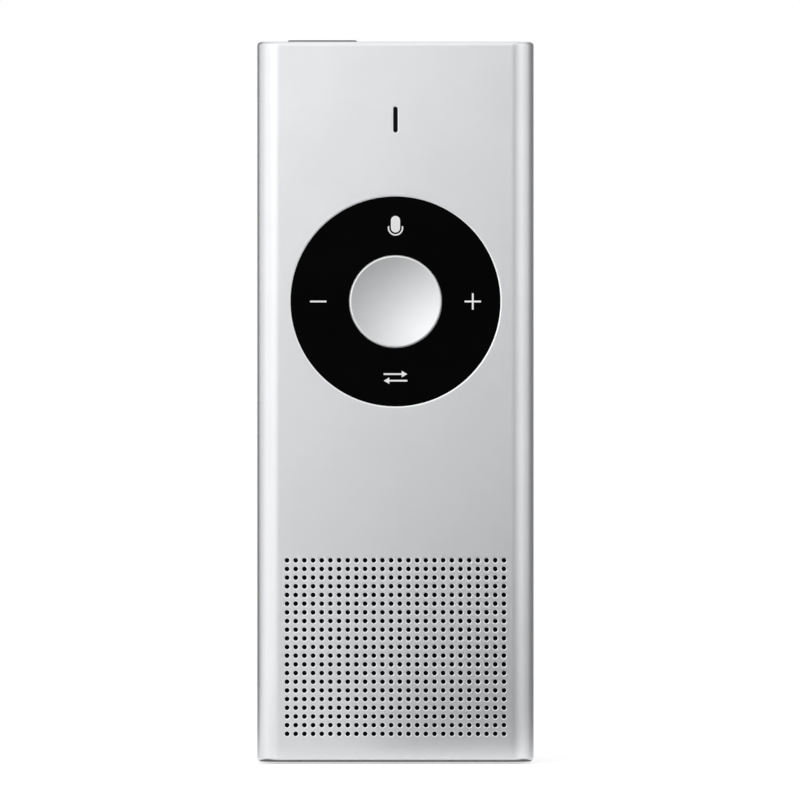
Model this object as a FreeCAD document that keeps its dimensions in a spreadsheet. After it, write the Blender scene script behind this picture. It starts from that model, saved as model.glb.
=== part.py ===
import FreeCAD, Part
import math
import os
import re

import Sketcher

# A slim handheld translator: an extruded aluminium sleeve closed by two end caps, with a
# rocking key ring, a dished centre button, a power key on the top end and a drilled speaker grille.
# Millimetres. X runs to the right, Y to the back and Z up the length. The origin is the middle
# of the bottom end, halfway through the thickness, so the front face looks along -Y.

V = FreeCAD.Vector

SIZES = {
    # Housing and end caps
    "bodyLength": 131.0,
    "bodyWidth": 50.3,
    "bodyThick": 7.9,
    "wall": 0.9,
    "rimRound": 0.7,
    "slideFit": 0.05,
    "capThick": 2.0,
    # Speaker grille in the front wall
    "grillePitch": 1.577,
    "grilleHoleDia": 0.87,
    "grilleSideMargin": 5.4,
    "grilleBottom": 5.13,
    "grilleRise": 31.6,
    # Status slot, its light guide and lamp
    "slotFromTop": 14.2,
    "slotLength": 4.75,
    "slotWidth": 0.85,
    "lensFit": 0.04,
    "lensSetback": 0.06,
    "lensFlangeReach": 0.7,
    "lampSize": 1.6,
    "lampThick": 0.6,
    # Key ring and the tilting ring that carries it
    "keyFromTop": 47.27,
    "keyDia": 38.0,
    "keyRecess": 0.05,
    "keyThick": 1.1,
    "openingGap": 0.15,
    "openingChamfer": 0.18,
    "hubRoom": 0.35,
    "hubWall": 1.3,
    "ringRoom": 0.4,
    "tiltRoom": 0.4,
    "tiltRingThick": 1.4,
    "tiltRingWall": 2.2,
    "pinDia": 0.6,
    "pinFit": 0.03,
    "pinHold": 1.0,
    "pinReach": 1.8,
    "nubDia": 2.0,
    "nubInset": 1.7,
    # Printed symbols on the key ring
    "symbolOffset": 14.05,
    "symbolLift": 0.02,
    "symbolStroke": 0.31,
    "symbolSpan": 2.98,
    "micWidth": 1.66,
    "micHeight": 3.0,
    "micLine": 0.25,
    "micCradle": 2.8,
    "micArmRise": 0.3,
    "arrowsFromCentre": 13.8,
    "arrowSpan": 4.3,
    "arrowGap": 1.2,
    "arrowHead": 0.68,
    # Centre button
    "centreDia": 16.6,
    "centreGap": 0.15,
    "centreCapThick": 1.35,
    "centreDish": 0.34,
    "centreChamfer": 0.22,
    "flangeReach": 0.45,
    "flangeThick": 0.5,
    "stemDia": 3.0,
    # Snap domes and the small gap that each button keeps to its own
    "domeDia": 3.4,
    "domeRoom": 0.1,
    "domeRise": 0.32,
    "domeSkin": 0.1,
    "touchGap": 0.04,
    # Power key on the top end
    "powerFromSide": 5.55,
    "powerLength": 12.6,
    "powerDepth": 2.4,
    "powerProud": 0.3,
    "powerGap": 0.12,
    "powerFlangeReach": 0.5,
    "powerFlangeThick": 0.6,
    "powerTravelRoom": 1.75,
    "switchLength": 3.0,
    "switchWidth": 4.0,
    "plungerWidth": 2.0,
    "plungerDepth": 0.7,
    "plungerSink": 0.8,
    "plungerGap": 0.1,
    # Inner frame and main board
    "frameSetback": 0.1,
    "frameTopRoom": 1.4,
    "railWidth": 2.3,
    "sideRoom": 0.2,
    "boardRoom": 0.3,
    "boardThick": 0.8,
    "boardTopRoom": 2.5,
    "boardScrewInset": 2.2,
    "boardScrewEnd": 4.0,
    # Screws
    "screwDia": 1.2,
    "screwHeadDia": 2.2,
    "screwHeadThick": 0.9,
    "screwSetback": 0.15,
    "screwLength": 6.0,
    "boardScrewLength": 1.2,
    "screwFit": 0.1,
    "threadFit": 0.02,
    "socketWidth": 1.0,
    "socketDepth": 0.5,
    # Battery and what lies beside it
    "padThick": 0.25,
    "batteryBackRoom": 0.15,
    "batteryFromBoard": 8.0,
    "batteryFromTop": 31.0,
    "leadDia": 0.7,
    "leadLength": 1.0,
    "connectorWidth": 6.0,
    "connectorLength": 2.0,
    "connectorThick": 1.2,
    "leadSpacing": 2.0,
    "connectorFromCentre": 11.0,
    # Chips under a shield can
    "shieldWidth": 16.0,
    "shieldLength": 14.0,
    "shieldHeight": 1.5,
    "shieldWall": 0.2,
    "shieldFromTop": 14.0,
    "chipThick": 0.9,
    "processorSide": 8.0,
    "memoryWidth": 5.0,
    "chipMargin": 1.0,
    "powerChipSide": 5.0,
    "powerChipFromCentre": 6.0,
    # Microphones
    "micCaseWidth": 3.8,
    "micCaseLength": 3.0,
    "micCaseThick": 1.0,
    "micHoleDia": 0.9,
    "micTopFromRail": 12.8,
    "micTopRun": 3.5,
    "micBottomFromCentre": 11.5,
    "micBottomRun": 2.6,
    "bootWidth": 2.4,
    "bootLip": 0.2,
    # Antenna strip under the top cap
    "antennaFromRail": 1.3,
    "antennaLength": 8.5,
    "antennaWidth": 4.4,
    "antennaThick": 0.25,
    # Loudspeaker
    "meshThick": 0.12,
    "gasketThick": 0.48,
    "speakerLength": 26.0,
    "speakerRoom": 1.25,
    "speakerWall": 1.0,
    "speakerFloor": 0.8,
    "speakerBackRoom": 0.43,
    "meshMargin": 0.9,
    "diaphragmWidth": 28.0,
    "diaphragmHeight": 16.0,
    "diaphragmSetback": 0.5,
    "diaphragmThick": 0.2,
    "surroundThick": 0.12,
    "poleDia": 10.0,
    "poleThick": 0.5,
    "magnetThick": 1.4,
    "coilGap": 0.25,
    "coilWall": 0.35,
    "coilRoom": 0.6,
    "yokeGap": 0.3,
    "yokeWall": 1.0,
    "yokeFloor": 0.6,
    "contactRun": 3.0,
    "contactWidth": 0.8,
    "contactThick": 0.15,
    "contactFromCentre": 8.0,
    "contactLap": 2.8,
    # Charging socket, its board and flat cable
    "usbWidth": 8.94,
    "usbHeight": 3.26,
    "usbLength": 7.35,
    "usbShell": 0.3,
    "usbSetback": 0.6,
    "usbGap": 0.1,
    "usbBack": 0.85,
    "tongueWidth": 6.7,
    "tongueThick": 0.7,
    "tongueSetback": 0.8,
    "usbBoardThick": 0.7,
    "usbBoardOver": 0.65,
    "usbBoardBottom": 2.6,
    "flexWidth": 6.0,
    "flexThick": 0.15,
    "flexLap": 2.0,
}

# Places through the thickness, front to back, each worked out from the one before
FRONT = "(-bodyThick / 2)"
BACK = "(bodyThick / 2)"
FRONT_INNER = f"({FRONT} + wall)"
BACK_INNER = f"({BACK} - wall)"
KEY_FACE = f"({FRONT} + keyRecess)"
KEY_BACK = f"({KEY_FACE} + keyThick)"
TILT_FRONT = f"({KEY_BACK} + tiltRoom)"
TILT_BACK = f"({TILT_FRONT} + tiltRingThick)"
TILT_AXIS = f"({TILT_FRONT} + tiltRingThick / 2)"
FRAME_FRONT = f"({TILT_FRONT} + frameSetback)"
BOARD_FRONT = f"({TILT_BACK} + boardRoom)"
BOARD_BACK = f"({BOARD_FRONT} + boardThick)"
DOME_TOP = f"({BOARD_FRONT} - domeRise)"
BUTTON_END = f"({DOME_TOP} - touchGap)"
CENTRE_BACK = f"({KEY_FACE} + centreCapThick + flangeThick)"
BATTERY_FRONT = f"({BOARD_BACK} + padThick)"
BATTERY_BACK = f"({BACK_INNER} - batteryBackRoom)"
MESH_BACK = f"({FRONT_INNER} + meshThick)"
SPEAKER_FRONT = f"({MESH_BACK} + gasketThick)"
RAIL_BACK = "(usbHeight / 2)"
USB_BOARD_BACK = f"({RAIL_BACK} + usbBoardThick)"
SPEAKER_BACK = f"({USB_BOARD_BACK} - speakerBackRoom)"
DIAPHRAGM_FRONT = f"({SPEAKER_FRONT} + diaphragmSetback)"
DIAPHRAGM_BACK = f"({DIAPHRAGM_FRONT} + diaphragmThick)"
MAGNET_BACK = f"({SPEAKER_BACK} - yokeFloor)"
MAGNET_FRONT = f"({MAGNET_BACK} - magnetThick)"
POLE_FRONT = f"({MAGNET_FRONT} - poleThick)"

# Places along the length
KEY_Z = "(bodyLength - keyFromTop)"
SLOT_Z = "(bodyLength - slotFromTop)"
TOP_CAP_UNDER = "(bodyLength - capThick)"
SPEAKER_BOTTOM = "(usbSetback + usbLength + speakerRoom)"
SPEAKER_TOP = f"({SPEAKER_BOTTOM} + speakerLength)"
SPEAKER_Z = f"({SPEAKER_BOTTOM} + speakerLength / 2)"
BOARD_BOTTOM = f"({SPEAKER_TOP} + contactRun)"
BOARD_TOP = f"({TOP_CAP_UNDER} - boardTopRoom)"
FRAME_TOP = f"({SLOT_Z} + slotLength / 2 + frameTopRoom)"
BATTERY_BOTTOM = f"({BOARD_BOTTOM} + batteryFromBoard)"
BATTERY_TOP = "(bodyLength - batteryFromTop)"
CONNECTOR_BOTTOM = f"({BATTERY_TOP} + leadLength)"
SHIELD_TOP = "(bodyLength - shieldFromTop)"
POWER_FLANGE_TOP = f"({TOP_CAP_UNDER} - slideFit)"
POWER_FLANGE_END = f"({POWER_FLANGE_TOP} - powerFlangeThick)"
SWITCH_TOP = f"({POWER_FLANGE_END} - powerTravelRoom)"
MIC_TOP_END = f"({TOP_CAP_UNDER} - micTopRun)"
MIC_BOTTOM_END = "(capThick + micBottomRun)"
USB_END = "(usbSetback + usbLength)"
USB_BOARD_TOP = f"({USB_END} + usbBoardOver)"

# Radii about the key ring's centre, from the button outwards
CENTRE_RADIUS = "(centreDia / 2)"
KEY_RADIUS = "(keyDia / 2)"
KEY_BORE = f"({CENTRE_RADIUS} + centreGap)"
FLANGE_RADIUS = f"({CENTRE_RADIUS} + flangeReach)"
HUB_INNER = f"({FLANGE_RADIUS} + hubRoom)"
HUB_OUTER = f"({HUB_INNER} + hubWall)"
TILT_INNER = f"({HUB_OUTER} + ringRoom)"
TILT_OUTER = f"({TILT_INNER} + tiltRingWall)"
FRAME_BORE = f"({TILT_OUTER} + ringRoom)"
NUB_AT = f"({KEY_RADIUS} - nubInset)"

# Radii of the loudspeaker's motor
POLE_RADIUS = "(poleDia / 2)"
COIL_INNER = f"({POLE_RADIUS} + coilGap)"
COIL_OUTER = f"({COIL_INNER} + coilWall)"
YOKE_INNER = f"({COIL_OUTER} + yokeGap)"
YOKE_OUTER = f"({YOKE_INNER} + yokeWall)"

# Half widths
OUTER_RUN = "((bodyWidth - bodyThick) / 2)"
INNER_RADIUS = "(bodyThick / 2 - wall)"
CAP_RADIUS = f"({INNER_RADIUS} - slideFit)"
FRAME_HALF = f"({OUTER_RUN} + sqrt({INNER_RADIUS}^2 - {FRAME_FRONT}^2) - 2 * slideFit)"
RAIL_INNER = f"({FRAME_HALF} - railWidth)"
SCREW_X = f"({FRAME_HALF} - railWidth / 2)"
BOARD_HALF = f"({RAIL_INNER} - sideRoom)"
BATTERY_HALF = f"({BOARD_HALF} - sideRoom)"
BOARD_SCREW_X = f"({BOARD_HALF} - boardScrewInset)"
MIC_TOP_X = f"({RAIL_INNER} - micTopFromRail)"
POWER_X = "(powerFromSide + powerLength / 2 - bodyWidth / 2)"
GRILLE_COLUMNS = "(floor((bodyWidth - 2 * grilleSideMargin) / grillePitch) + 1)"
GRILLE_ROWS = "(floor(grilleRise / grillePitch) + 1)"
GRILLE_HALF = f"(({GRILLE_COLUMNS} - 1) / 2 * grillePitch)"
GRILLE_TOP = f"(grilleBottom + ({GRILLE_ROWS} - 1) * grillePitch)"

TURN = {
    "x": FreeCAD.Rotation(V(0, 1, 0), 90),
    "y": FreeCAD.Rotation(V(1, 0, 0), -90),
    "-y": FreeCAD.Rotation(V(1, 0, 0), 90),
    "z": FreeCAD.Rotation(),
}

doc = FreeCAD.newDocument("translator")


def make_sheet():
    """The spreadsheet that holds the driving dimensions, one alias per size."""
    sheet = doc.addObject("Spreadsheet::Sheet", "sizes")
    for row, (alias, value) in enumerate(SIZES.items(), start=1):
        sheet.set(f"A{row}", alias)
        sheet.set(f"B{row}", str(value))
        sheet.setAlias(f"B{row}", alias)
    doc.recompute()


def in_sheet(expression):
    """The expression with each size read from the sheet."""
    return re.sub(
        r"[A-Za-z]\w*",
        lambda word: "sizes." + word.group() if word.group() in SIZES else word.group(),
        str(expression),
    )


def bind(thing, **properties):
    """Ties properties to expressions; a double underscore stands for a dot."""
    for name, expression in properties.items():
        thing.setExpression(name.replace("__", "."), in_sheet(expression))


def value(expression):
    """What an expression of the sheet's sizes comes to, in plain numbers."""
    sheet = doc.getObject("sizes")
    return float(sheet.evalExpression(in_sheet(expression)))


# Solid primitives and booleans


def put(thing, turn, x, y, z):
    """Turns a primitive and ties its place."""
    thing.Placement = FreeCAD.Placement(V(), turn)
    bind(thing, Placement__Base__x=x, Placement__Base__y=y, Placement__Base__z=z)
    return thing


def block(name, x, y, z):
    """A block between two planes on each axis."""
    thing = doc.addObject("Part::Box", name)
    for size, (low, high) in zip(("Length", "Width", "Height"), (x, y, z)):
        bind(thing, **{size: f"({high}) - ({low})"})
    return put(thing, TURN["z"], x[0], y[0], z[0])


def rod(name, axis, radius, ends, at):
    """A round bar along an axis; at holds the places on the other two axes, in order."""
    thing = doc.addObject("Part::Cylinder", name)
    low, high = ends
    bind(thing, Radius=radius, Height=f"({high}) - ({low})")
    place = dict(zip([other for other in "xyz" if other != axis], at))
    place[axis] = low
    return put(thing, TURN[axis], **place)


def frustum(name, turn, radii, height, at):
    """A round bar that tapers from the first radius to the second."""
    thing = doc.addObject("Part::Cone", name)
    bind(thing, Radius1=radii[0], Radius2=radii[1], Height=height)
    return put(thing, TURN[turn], *at)


def fuse(name, *things):
    """One solid from overlapping or touching ones."""
    thing = doc.addObject("Part::MultiFuse", name)
    thing.Shapes = list(things)
    thing.Refine = True
    return thing


def group(name, *things):
    """Separate solids kept in one sub-part."""
    thing = doc.addObject("Part::Compound", name)
    thing.Links = list(things)
    return thing


def cut(name, base, *tools):
    """The base without the tools, each of which must reach into it."""
    thing = doc.addObject("Part::Cut", name)
    thing.Base = base
    thing.Tool = tools[0] if len(tools) == 1 else group(f"{name}_tools", *tools)
    return thing


# Sketched bodies


def new_body(name):
    """A body whose label names the sub-part."""
    return doc.addObject("PartDesign::Body", name)


def new_sketch(body, name, role, lift):
    """A sketch on one of the body's origin planes, lifted along the plane's normal."""
    sketch = body.newObject("Sketcher::SketchObject", f"{body.Name}_{name}")
    base = next(plane for plane in body.Origin.OriginFeatures if plane.Role == role)
    sketch.AttachmentSupport = [(base, "")]
    sketch.MapMode = "FlatFace"
    bind(sketch, AttachmentOffset__Base__z=lift)
    return sketch


def fix(sketch, kind, *members, name, size):
    """A named constraint tied to an expression."""
    index = sketch.addConstraint(Sketcher.Constraint(kind, *members, value(size)))
    sketch.renameConstraint(index, name)
    bind(sketch, **{f"Constraints__{name}": size})


def fix_centre(sketch, curve, name, x, y):
    """Holds the centre of an arc or circle at a place measured from the sketch's origin."""
    fix(sketch, "DistanceX", -1, 1, curve, 3, name=f"{name}X", size=x)
    fix(sketch, "DistanceY", -1, 1, curve, 3, name=f"{name}Y", size=y)


def draw_circle(sketch, name, radius, x="0", y="0"):
    """A circle with a tied radius and centre."""
    centre = V(value(x), value(y), 0)
    circle = sketch.addGeometry(Part.Circle(centre, V(0, 0, 1), value(radius)))
    fix(sketch, "Radius", circle, name=f"{name}Radius", size=radius)
    fix_centre(sketch, circle, name, x, y)


def draw_pill(sketch, name, run, radius, x="0", y="0", upright=False):
    """A slot outline: two half circles of a tied radius, their centres run to each side."""
    quarter = math.pi / 2
    start = quarter if upright else 0.0
    centre = V(value(x), value(y), 0)
    step = V(math.cos(start), math.sin(start), 0) * value(run)
    side = V(-math.sin(start), math.cos(start), 0) * value(radius)
    arcs = []
    for sign, turned in ((1, start), (-1, start + math.pi)):
        circle = Part.Circle(centre + step * sign, V(0, 0, 1), value(radius))
        arcs.append(sketch.addGeometry(Part.ArcOfCircle(circle, turned - quarter, turned + quarter)))
    upper = sketch.addGeometry(Part.LineSegment(centre + step + side, centre - step + side))
    lower = sketch.addGeometry(Part.LineSegment(centre - step - side, centre + step - side))
    joints = ((arcs[0], 2, upper, 1), (upper, 2, arcs[1], 1), (arcs[1], 2, lower, 1), (lower, 2, arcs[0], 1))
    for joint in joints:
        sketch.addConstraint(Sketcher.Constraint("Tangent", *joint))
    sketch.addConstraint(Sketcher.Constraint("Equal", *arcs))
    fix(sketch, "Radius", arcs[0], name=f"{name}Radius", size=radius)
    for arc, sign, end in ((arcs[0], "+", "First"), (arcs[1], "-", "Last")):
        shift = f"{sign} ({run})"
        place = (x, f"({y}) {shift}") if upright else (f"({x}) {shift}", y)
        fix_centre(sketch, arc, f"{name}{end}", *place)


def pad(body, sketch, length, backwards=False):
    """Raises a sketch; on the front plane it goes towards the viewer unless backwards."""
    feature = body.newObject("PartDesign::Pad", f"{sketch.Name}_pad")
    feature.Profile = sketch
    feature.Reversed = backwards
    bind(feature, Length=length)
    doc.recompute()
    return feature


def pocket(body, sketch, length, backwards=False):
    """Sinks a sketch into the body and makes sure that material went away."""
    before = body.Shape.Volume
    feature = body.newObject("PartDesign::Pocket", f"{sketch.Name}_pocket")
    feature.Profile = sketch
    feature.Reversed = backwards
    bind(feature, Length=length)
    doc.recompute()
    if body.Shape.Volume >= before:
        raise RuntimeError(f"{feature.Name} removes nothing")
    return feature


def edges_where(feature, test):
    """Names of the feature's edges that pass a test."""
    edges = enumerate(feature.Shape.Edges, start=1)
    return [f"Edge{number}" for number, edge in edges if test(edge)]


def dress(body, kind, base, edges, name, **sizes):
    """A fillet or chamfer along edges of the body's last feature."""
    feature = body.newObject(f"PartDesign::{kind}", f"{body.Name}_{name}")
    feature.Base = (base, edges)
    bind(feature, **sizes)
    doc.recompute()
    return feature


# Housing


def housing_sleeve():
    """The extruded tube with round sides, its rims, the key opening, the slot and the grille."""
    body = new_body("housing_sleeve")
    outline = new_sketch(body, "outline", "XY_Plane", "0")
    draw_pill(outline, "outer", OUTER_RUN, BACK)
    pad(body, outline, "bodyLength")
    bore = new_sketch(body, "bore", "XY_Plane", "0")
    draw_pill(bore, "inner", OUTER_RUN, INNER_RADIUS)
    tube = pocket(body, bore, "bodyLength", backwards=True)

    length, outer_run, inner = value("bodyLength"), value(OUTER_RUN), value(INNER_RADIUS)

    def on_outer_rim(edge):
        """Whether the edge lies in an end face and on the outer outline."""
        middle = edge.valueAt((edge.FirstParameter + edge.LastParameter) / 2)
        at_end = min(abs(middle.z), abs(middle.z - length)) < 1e-6
        flat = abs(edge.Vertexes[0].Z - edge.Vertexes[-1].Z) < 1e-6
        reach = math.hypot(max(abs(middle.x) - outer_run, 0.0), middle.y)
        return at_end and flat and reach > inner + 1e-3

    rims = dress(body, "Fillet", tube, edges_where(tube, on_outer_rim), "rims", Radius="min(rimRound; wall * 0.9)")
    body.Tip = rims

    key_hole = new_sketch(body, "key_opening", "XZ_Plane", f"-{FRONT}")
    draw_circle(key_hole, "opening", f"{KEY_RADIUS} + openingGap", y=KEY_Z)
    opening = pocket(body, key_hole, "wall * 1.5")

    front, opening_radius = value(FRONT), value(f"{KEY_RADIUS} + openingGap")

    def on_opening_mouth(edge):
        """Whether the edge is the opening's circle in the front face."""
        circle = isinstance(edge.Curve, Part.Circle)
        if not circle or abs(edge.Curve.Radius - opening_radius) > 1e-6:
            return False
        return abs(edge.Curve.Center.y - front) < 1e-6

    mouth = edges_where(opening, on_opening_mouth)
    dress(body, "Chamfer", opening, mouth, "opening_edge", Size="openingChamfer")

    slot = new_sketch(body, "slot", "XZ_Plane", f"-{FRONT}")
    draw_pill(slot, "slot", "(slotLength - slotWidth) / 2", "slotWidth / 2", y=SLOT_Z, upright=True)
    pocket(body, slot, "wall * 1.5")

    hole = new_sketch(body, "hole", "XZ_Plane", f"-{FRONT}")
    draw_circle(hole, "hole", "grilleHoleDia / 2", x=f"-{GRILLE_HALF}", y="grilleBottom")
    first = pocket(body, hole, "wall * 1.5")
    grille = body.newObject("PartDesign::LinearPattern", "housing_sleeve_grille")
    grille.Originals = [first]
    grille.Direction = (hole, ["H_Axis"])
    grille.Direction2 = (hole, ["V_Axis"])
    grille.Mode = "Spacing"
    grille.Mode2 = "Spacing"
    bind(grille, Offset="grillePitch", Occurrences=GRILLE_COLUMNS)
    bind(grille, Offset2="grillePitch", Occurrences2=GRILLE_ROWS)
    body.Tip = grille
    return body


def cap_blank(name, low):
    """An end cap that fills the sleeve's end, with bores for its two screws."""
    body = new_body(name)
    outline = new_sketch(body, "outline", "XY_Plane", low)
    draw_pill(outline, "outer", OUTER_RUN, CAP_RADIUS)
    pad(body, outline, "capThick")
    shanks = new_sketch(body, "shanks", "XY_Plane", low)
    for side, x in (("left", f"-{SCREW_X}"), ("right", SCREW_X)):
        draw_circle(shanks, side, "screwDia / 2 + screwFit", x=x)
    pocket(body, shanks, "capThick", backwards=True)
    return body


def top_cap():
    """The top end cap, with the power key's slot and a microphone hole."""
    body = cap_blank("top_cap", TOP_CAP_UNDER)
    heads = new_sketch(body, "heads", "XY_Plane", "bodyLength")
    for side, x in (("left", f"-{SCREW_X}"), ("right", SCREW_X)):
        draw_circle(heads, side, "screwHeadDia / 2 + screwFit", x=x)
    pocket(body, heads, "screwSetback + screwHeadThick")
    key = new_sketch(body, "key_slot", "XY_Plane", "bodyLength")
    run = "(powerLength - powerDepth) / 2"
    draw_pill(key, "key", run, "powerDepth / 2 + powerGap", x=POWER_X)
    pocket(body, key, "capThick")
    sound = new_sketch(body, "mic_hole", "XY_Plane", "bodyLength")
    draw_circle(sound, "sound", "micHoleDia / 2", x=MIC_TOP_X, y=f"{BOARD_FRONT} - micCaseThick / 2")
    pocket(body, sound, "capThick")
    return body


def bottom_cap():
    """The bottom end cap, with the charging socket's opening and a microphone hole."""
    body = cap_blank("bottom_cap", "0")
    heads = new_sketch(body, "heads", "XY_Plane", "0")
    for side, x in (("left", f"-{SCREW_X}"), ("right", SCREW_X)):
        draw_circle(heads, side, "screwHeadDia / 2 + screwFit", x=x)
    pocket(body, heads, "screwSetback + screwHeadThick", backwards=True)
    socket = new_sketch(body, "socket", "XY_Plane", "0")
    draw_pill(socket, "socket", "(usbWidth - usbHeight) / 2", "usbHeight / 2 + usbGap")
    pocket(body, socket, "capThick", backwards=True)
    sound = new_sketch(body, "mic_hole", "XY_Plane", "0")
    draw_circle(sound, "sound", "micHoleDia / 2", x="micBottomFromCentre", y=f"{RAIL_BACK} - micCaseThick / 2")
    pocket(body, sound, "capThick", backwards=True)
    return body


def socket_screw(name, turn, at, length):
    """A cap screw with its head's top face at a place, pointing into the part along turn."""
    direction = {"z": V(0, 0, 1), "-z": V(0, 0, -1), "-y": V(0, -1, 0)}[turn]
    rotation = FreeCAD.Rotation(V(0, 0, 1), direction)
    head = doc.addObject("Part::Cylinder", f"{name}_head")
    bind(head, Radius="screwHeadDia / 2", Height="screwHeadThick")
    shank = doc.addObject("Part::Cylinder", f"{name}_shank")
    bind(shank, Radius="screwDia / 2", Height=f"screwHeadThick + {length}")
    recess = doc.addObject("Part::Prism", f"{name}_recess")
    recess.Polygon = 6
    bind(recess, Circumradius="socketWidth / sqrt(3)", Height="socketDepth")
    for thing in (head, shank, recess):
        put(thing, rotation, *at)
    return cut(name, fuse(f"{name}_solid", head, shank), recess)


def cap_screws():
    """Four screws that hold the end caps to the inner frame's rails."""
    screws = []
    for side, x in (("left", f"-{SCREW_X}"), ("right", SCREW_X)):
        bottom = (x, "0", "screwSetback")
        top = (x, "0", "bodyLength - screwSetback")
        screws.append(socket_screw(f"cap_screw_bottom_{side}", "z", bottom, "screwLength"))
        screws.append(socket_screw(f"cap_screw_top_{side}", "-z", top, "screwLength"))
    return group("cap_screws", *screws)


# Inner frame and boards


def inner_frame():
    """The moulded frame: a front plate with the key ring's seat, and a rail down each side."""
    plate = block(
        "frame_plate",
        (f"-{FRAME_HALF}", FRAME_HALF),
        (FRAME_FRONT, BOARD_FRONT),
        (BOARD_BOTTOM, FRAME_TOP),
    )
    rails = []
    rail_ends = ("capThick + slideFit", f"{TOP_CAP_UNDER} - slideFit")
    for side, x in (("left", (f"-{FRAME_HALF}", f"-{RAIL_INNER}")), ("right", (RAIL_INNER, FRAME_HALF))):
        rails.append(block(f"frame_rail_{side}", x, (f"-{RAIL_BACK}", RAIL_BACK), rail_ends))
    seat_depth = (f"{FRAME_FRONT} - 1", f"{BOARD_FRONT} + 1")
    tools = [rod("frame_seat", "y", FRAME_BORE, seat_depth, ("0", KEY_Z))]
    for name, x, z in compass():
        tools.append(rod(f"frame_window_{name}", "y", "domeDia / 2 + domeRoom", seat_depth, (x, z)))
    pin_half = f"({FRAME_BORE} + pinReach)"
    pin_hole = ("pinDia / 2 + pinFit", (f"-{pin_half}", pin_half), (TILT_AXIS, KEY_Z))
    tools.append(rod("frame_pin_holes", "x", *pin_hole))
    lens_half = "(slotWidth / 2 + lensFlangeReach)"
    lens_rise = "(slotLength / 2 + lensFlangeReach)"
    lens_z = (f"{SLOT_Z} - {lens_rise}", f"{SLOT_Z} + {lens_rise}")
    tools.append(block("frame_lens_window", (f"-{lens_half}", lens_half), seat_depth, lens_z))
    for side, x in (("left", f"-{SCREW_X}"), ("right", SCREW_X)):
        bore = "screwDia / 2 + threadFit"
        depth = "(screwSetback + screwHeadThick + screwLength + screwDia / 2)"
        tools.append(rod(f"frame_bore_bottom_{side}", "z", bore, ("0", depth), (x, "0")))
        top = (f"bodyLength - {depth}", "bodyLength")
        tools.append(rod(f"frame_bore_top_{side}", "z", bore, top, (x, "0")))
    for name, x, z in board_screw_places():
        bore = "screwDia / 2 + threadFit"
        depth = (f"{BOARD_BACK} - boardScrewLength - threadFit", f"{BOARD_FRONT} + 1")
        tools.append(rod(f"frame_bore_{name}", "y", bore, depth, (x, z)))
    solid = fuse("frame_solid", plate, *rails)
    return cut("inner_frame", solid, fuse("frame_tools", *tools))


def board_screw_places():
    """Name, x and z of each of the main board's four screws."""
    low = f"({BOARD_BOTTOM} + boardScrewEnd)"
    high = f"({FRAME_TOP} - boardScrewEnd)"
    sides = (("left", f"-{BOARD_SCREW_X}"), ("right", BOARD_SCREW_X))
    ends = (("low", low), ("high", high))
    return [(f"board_{end}_{side}", x, z) for side, x in sides for end, z in ends]


def board_screws():
    """Four screws from the back that hold the main board to the frame."""
    screws = []
    for name, x, z in board_screw_places():
        at = (x, f"{BOARD_BACK} + screwHeadThick / 2", z)
        screws.append(board_screw(name, at))
    return group("board_screws", *screws)


def board_screw(name, at):
    """A low screw whose head lies on the main board's back face."""
    x, _, z = at
    head = rod(f"{name}_head", "y", "screwHeadDia / 2", (BOARD_BACK, at[1]), (x, z))
    shank_ends = (f"{BOARD_BACK} - boardScrewLength", at[1])
    shank = rod(f"{name}_shank", "y", "screwDia / 2", shank_ends, (x, z))
    return fuse(f"{name}_screw", head, shank)


def main_board():
    """The main circuit board, on the back of the frame's plate between the rails."""
    sheet = block(
        "board_sheet",
        (f"-{BOARD_HALF}", BOARD_HALF),
        (BOARD_FRONT, BOARD_BACK),
        (BOARD_BOTTOM, BOARD_TOP),
    )
    depth = (f"{BOARD_FRONT} - 1", f"{BOARD_BACK} + 1")
    holes = []
    for name, x, z in board_screw_places():
        holes.append(rod(f"{name}_hole", "y", "screwDia / 2 + screwFit", depth, (x, z)))
    return cut("main_board", sheet, *holes)


def battery_pad():
    """The foam pad between the main board and the battery."""
    return block(
        "battery_pad",
        (f"-{BATTERY_HALF} + 1", f"{BATTERY_HALF} - 1"),
        (BOARD_BACK, BATTERY_FRONT),
        (f"{BATTERY_BOTTOM} + 1", f"{BATTERY_TOP} - 1"),
    )


def battery_cell():
    """The flat pouch cell that fills the space behind the board."""
    return block(
        "battery_cell",
        (f"-{BATTERY_HALF}", BATTERY_HALF),
        (BATTERY_FRONT, BATTERY_BACK),
        (BATTERY_BOTTOM, BATTERY_TOP),
    )


def battery_connector():
    """The plug that takes the battery's leads."""
    half = "connectorWidth / 2"
    return block(
        "battery_connector",
        (f"connectorFromCentre - {half}", f"connectorFromCentre + {half}"),
        (BOARD_BACK, f"{BOARD_BACK} + connectorThick"),
        (CONNECTOR_BOTTOM, f"{CONNECTOR_BOTTOM} + connectorLength"),
    )


def battery_leads():
    """Two short leads from the cell to its plug."""
    y = f"({BATTERY_FRONT} + leadDia / 2)"
    leads = []
    for side, sign in (("left", "-"), ("right", "+")):
        x = f"connectorFromCentre {sign} leadSpacing / 2"
        ends = (BATTERY_TOP, CONNECTOR_BOTTOM)
        leads.append(rod(f"battery_lead_{side}", "z", "leadDia / 2", ends, (x, y)))
    return group("battery_leads", *leads)


def shield_can():
    """The sheet metal can over the processor and the memory."""
    x = ("-shieldWidth", "0")
    y = (BOARD_BACK, f"{BOARD_BACK} + shieldHeight")
    z = (f"{SHIELD_TOP} - shieldLength", SHIELD_TOP)
    outside = block("shield_outside", x, y, z)
    inside = block(
        "shield_inside",
        ("-shieldWidth + shieldWall", "-shieldWall"),
        (f"{BOARD_BACK} - 1", f"{BOARD_BACK} + shieldHeight - shieldWall"),
        (f"{SHIELD_TOP} - shieldLength + shieldWall", f"{SHIELD_TOP} - shieldWall"),
    )
    return cut("shield_can", outside, inside)


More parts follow.
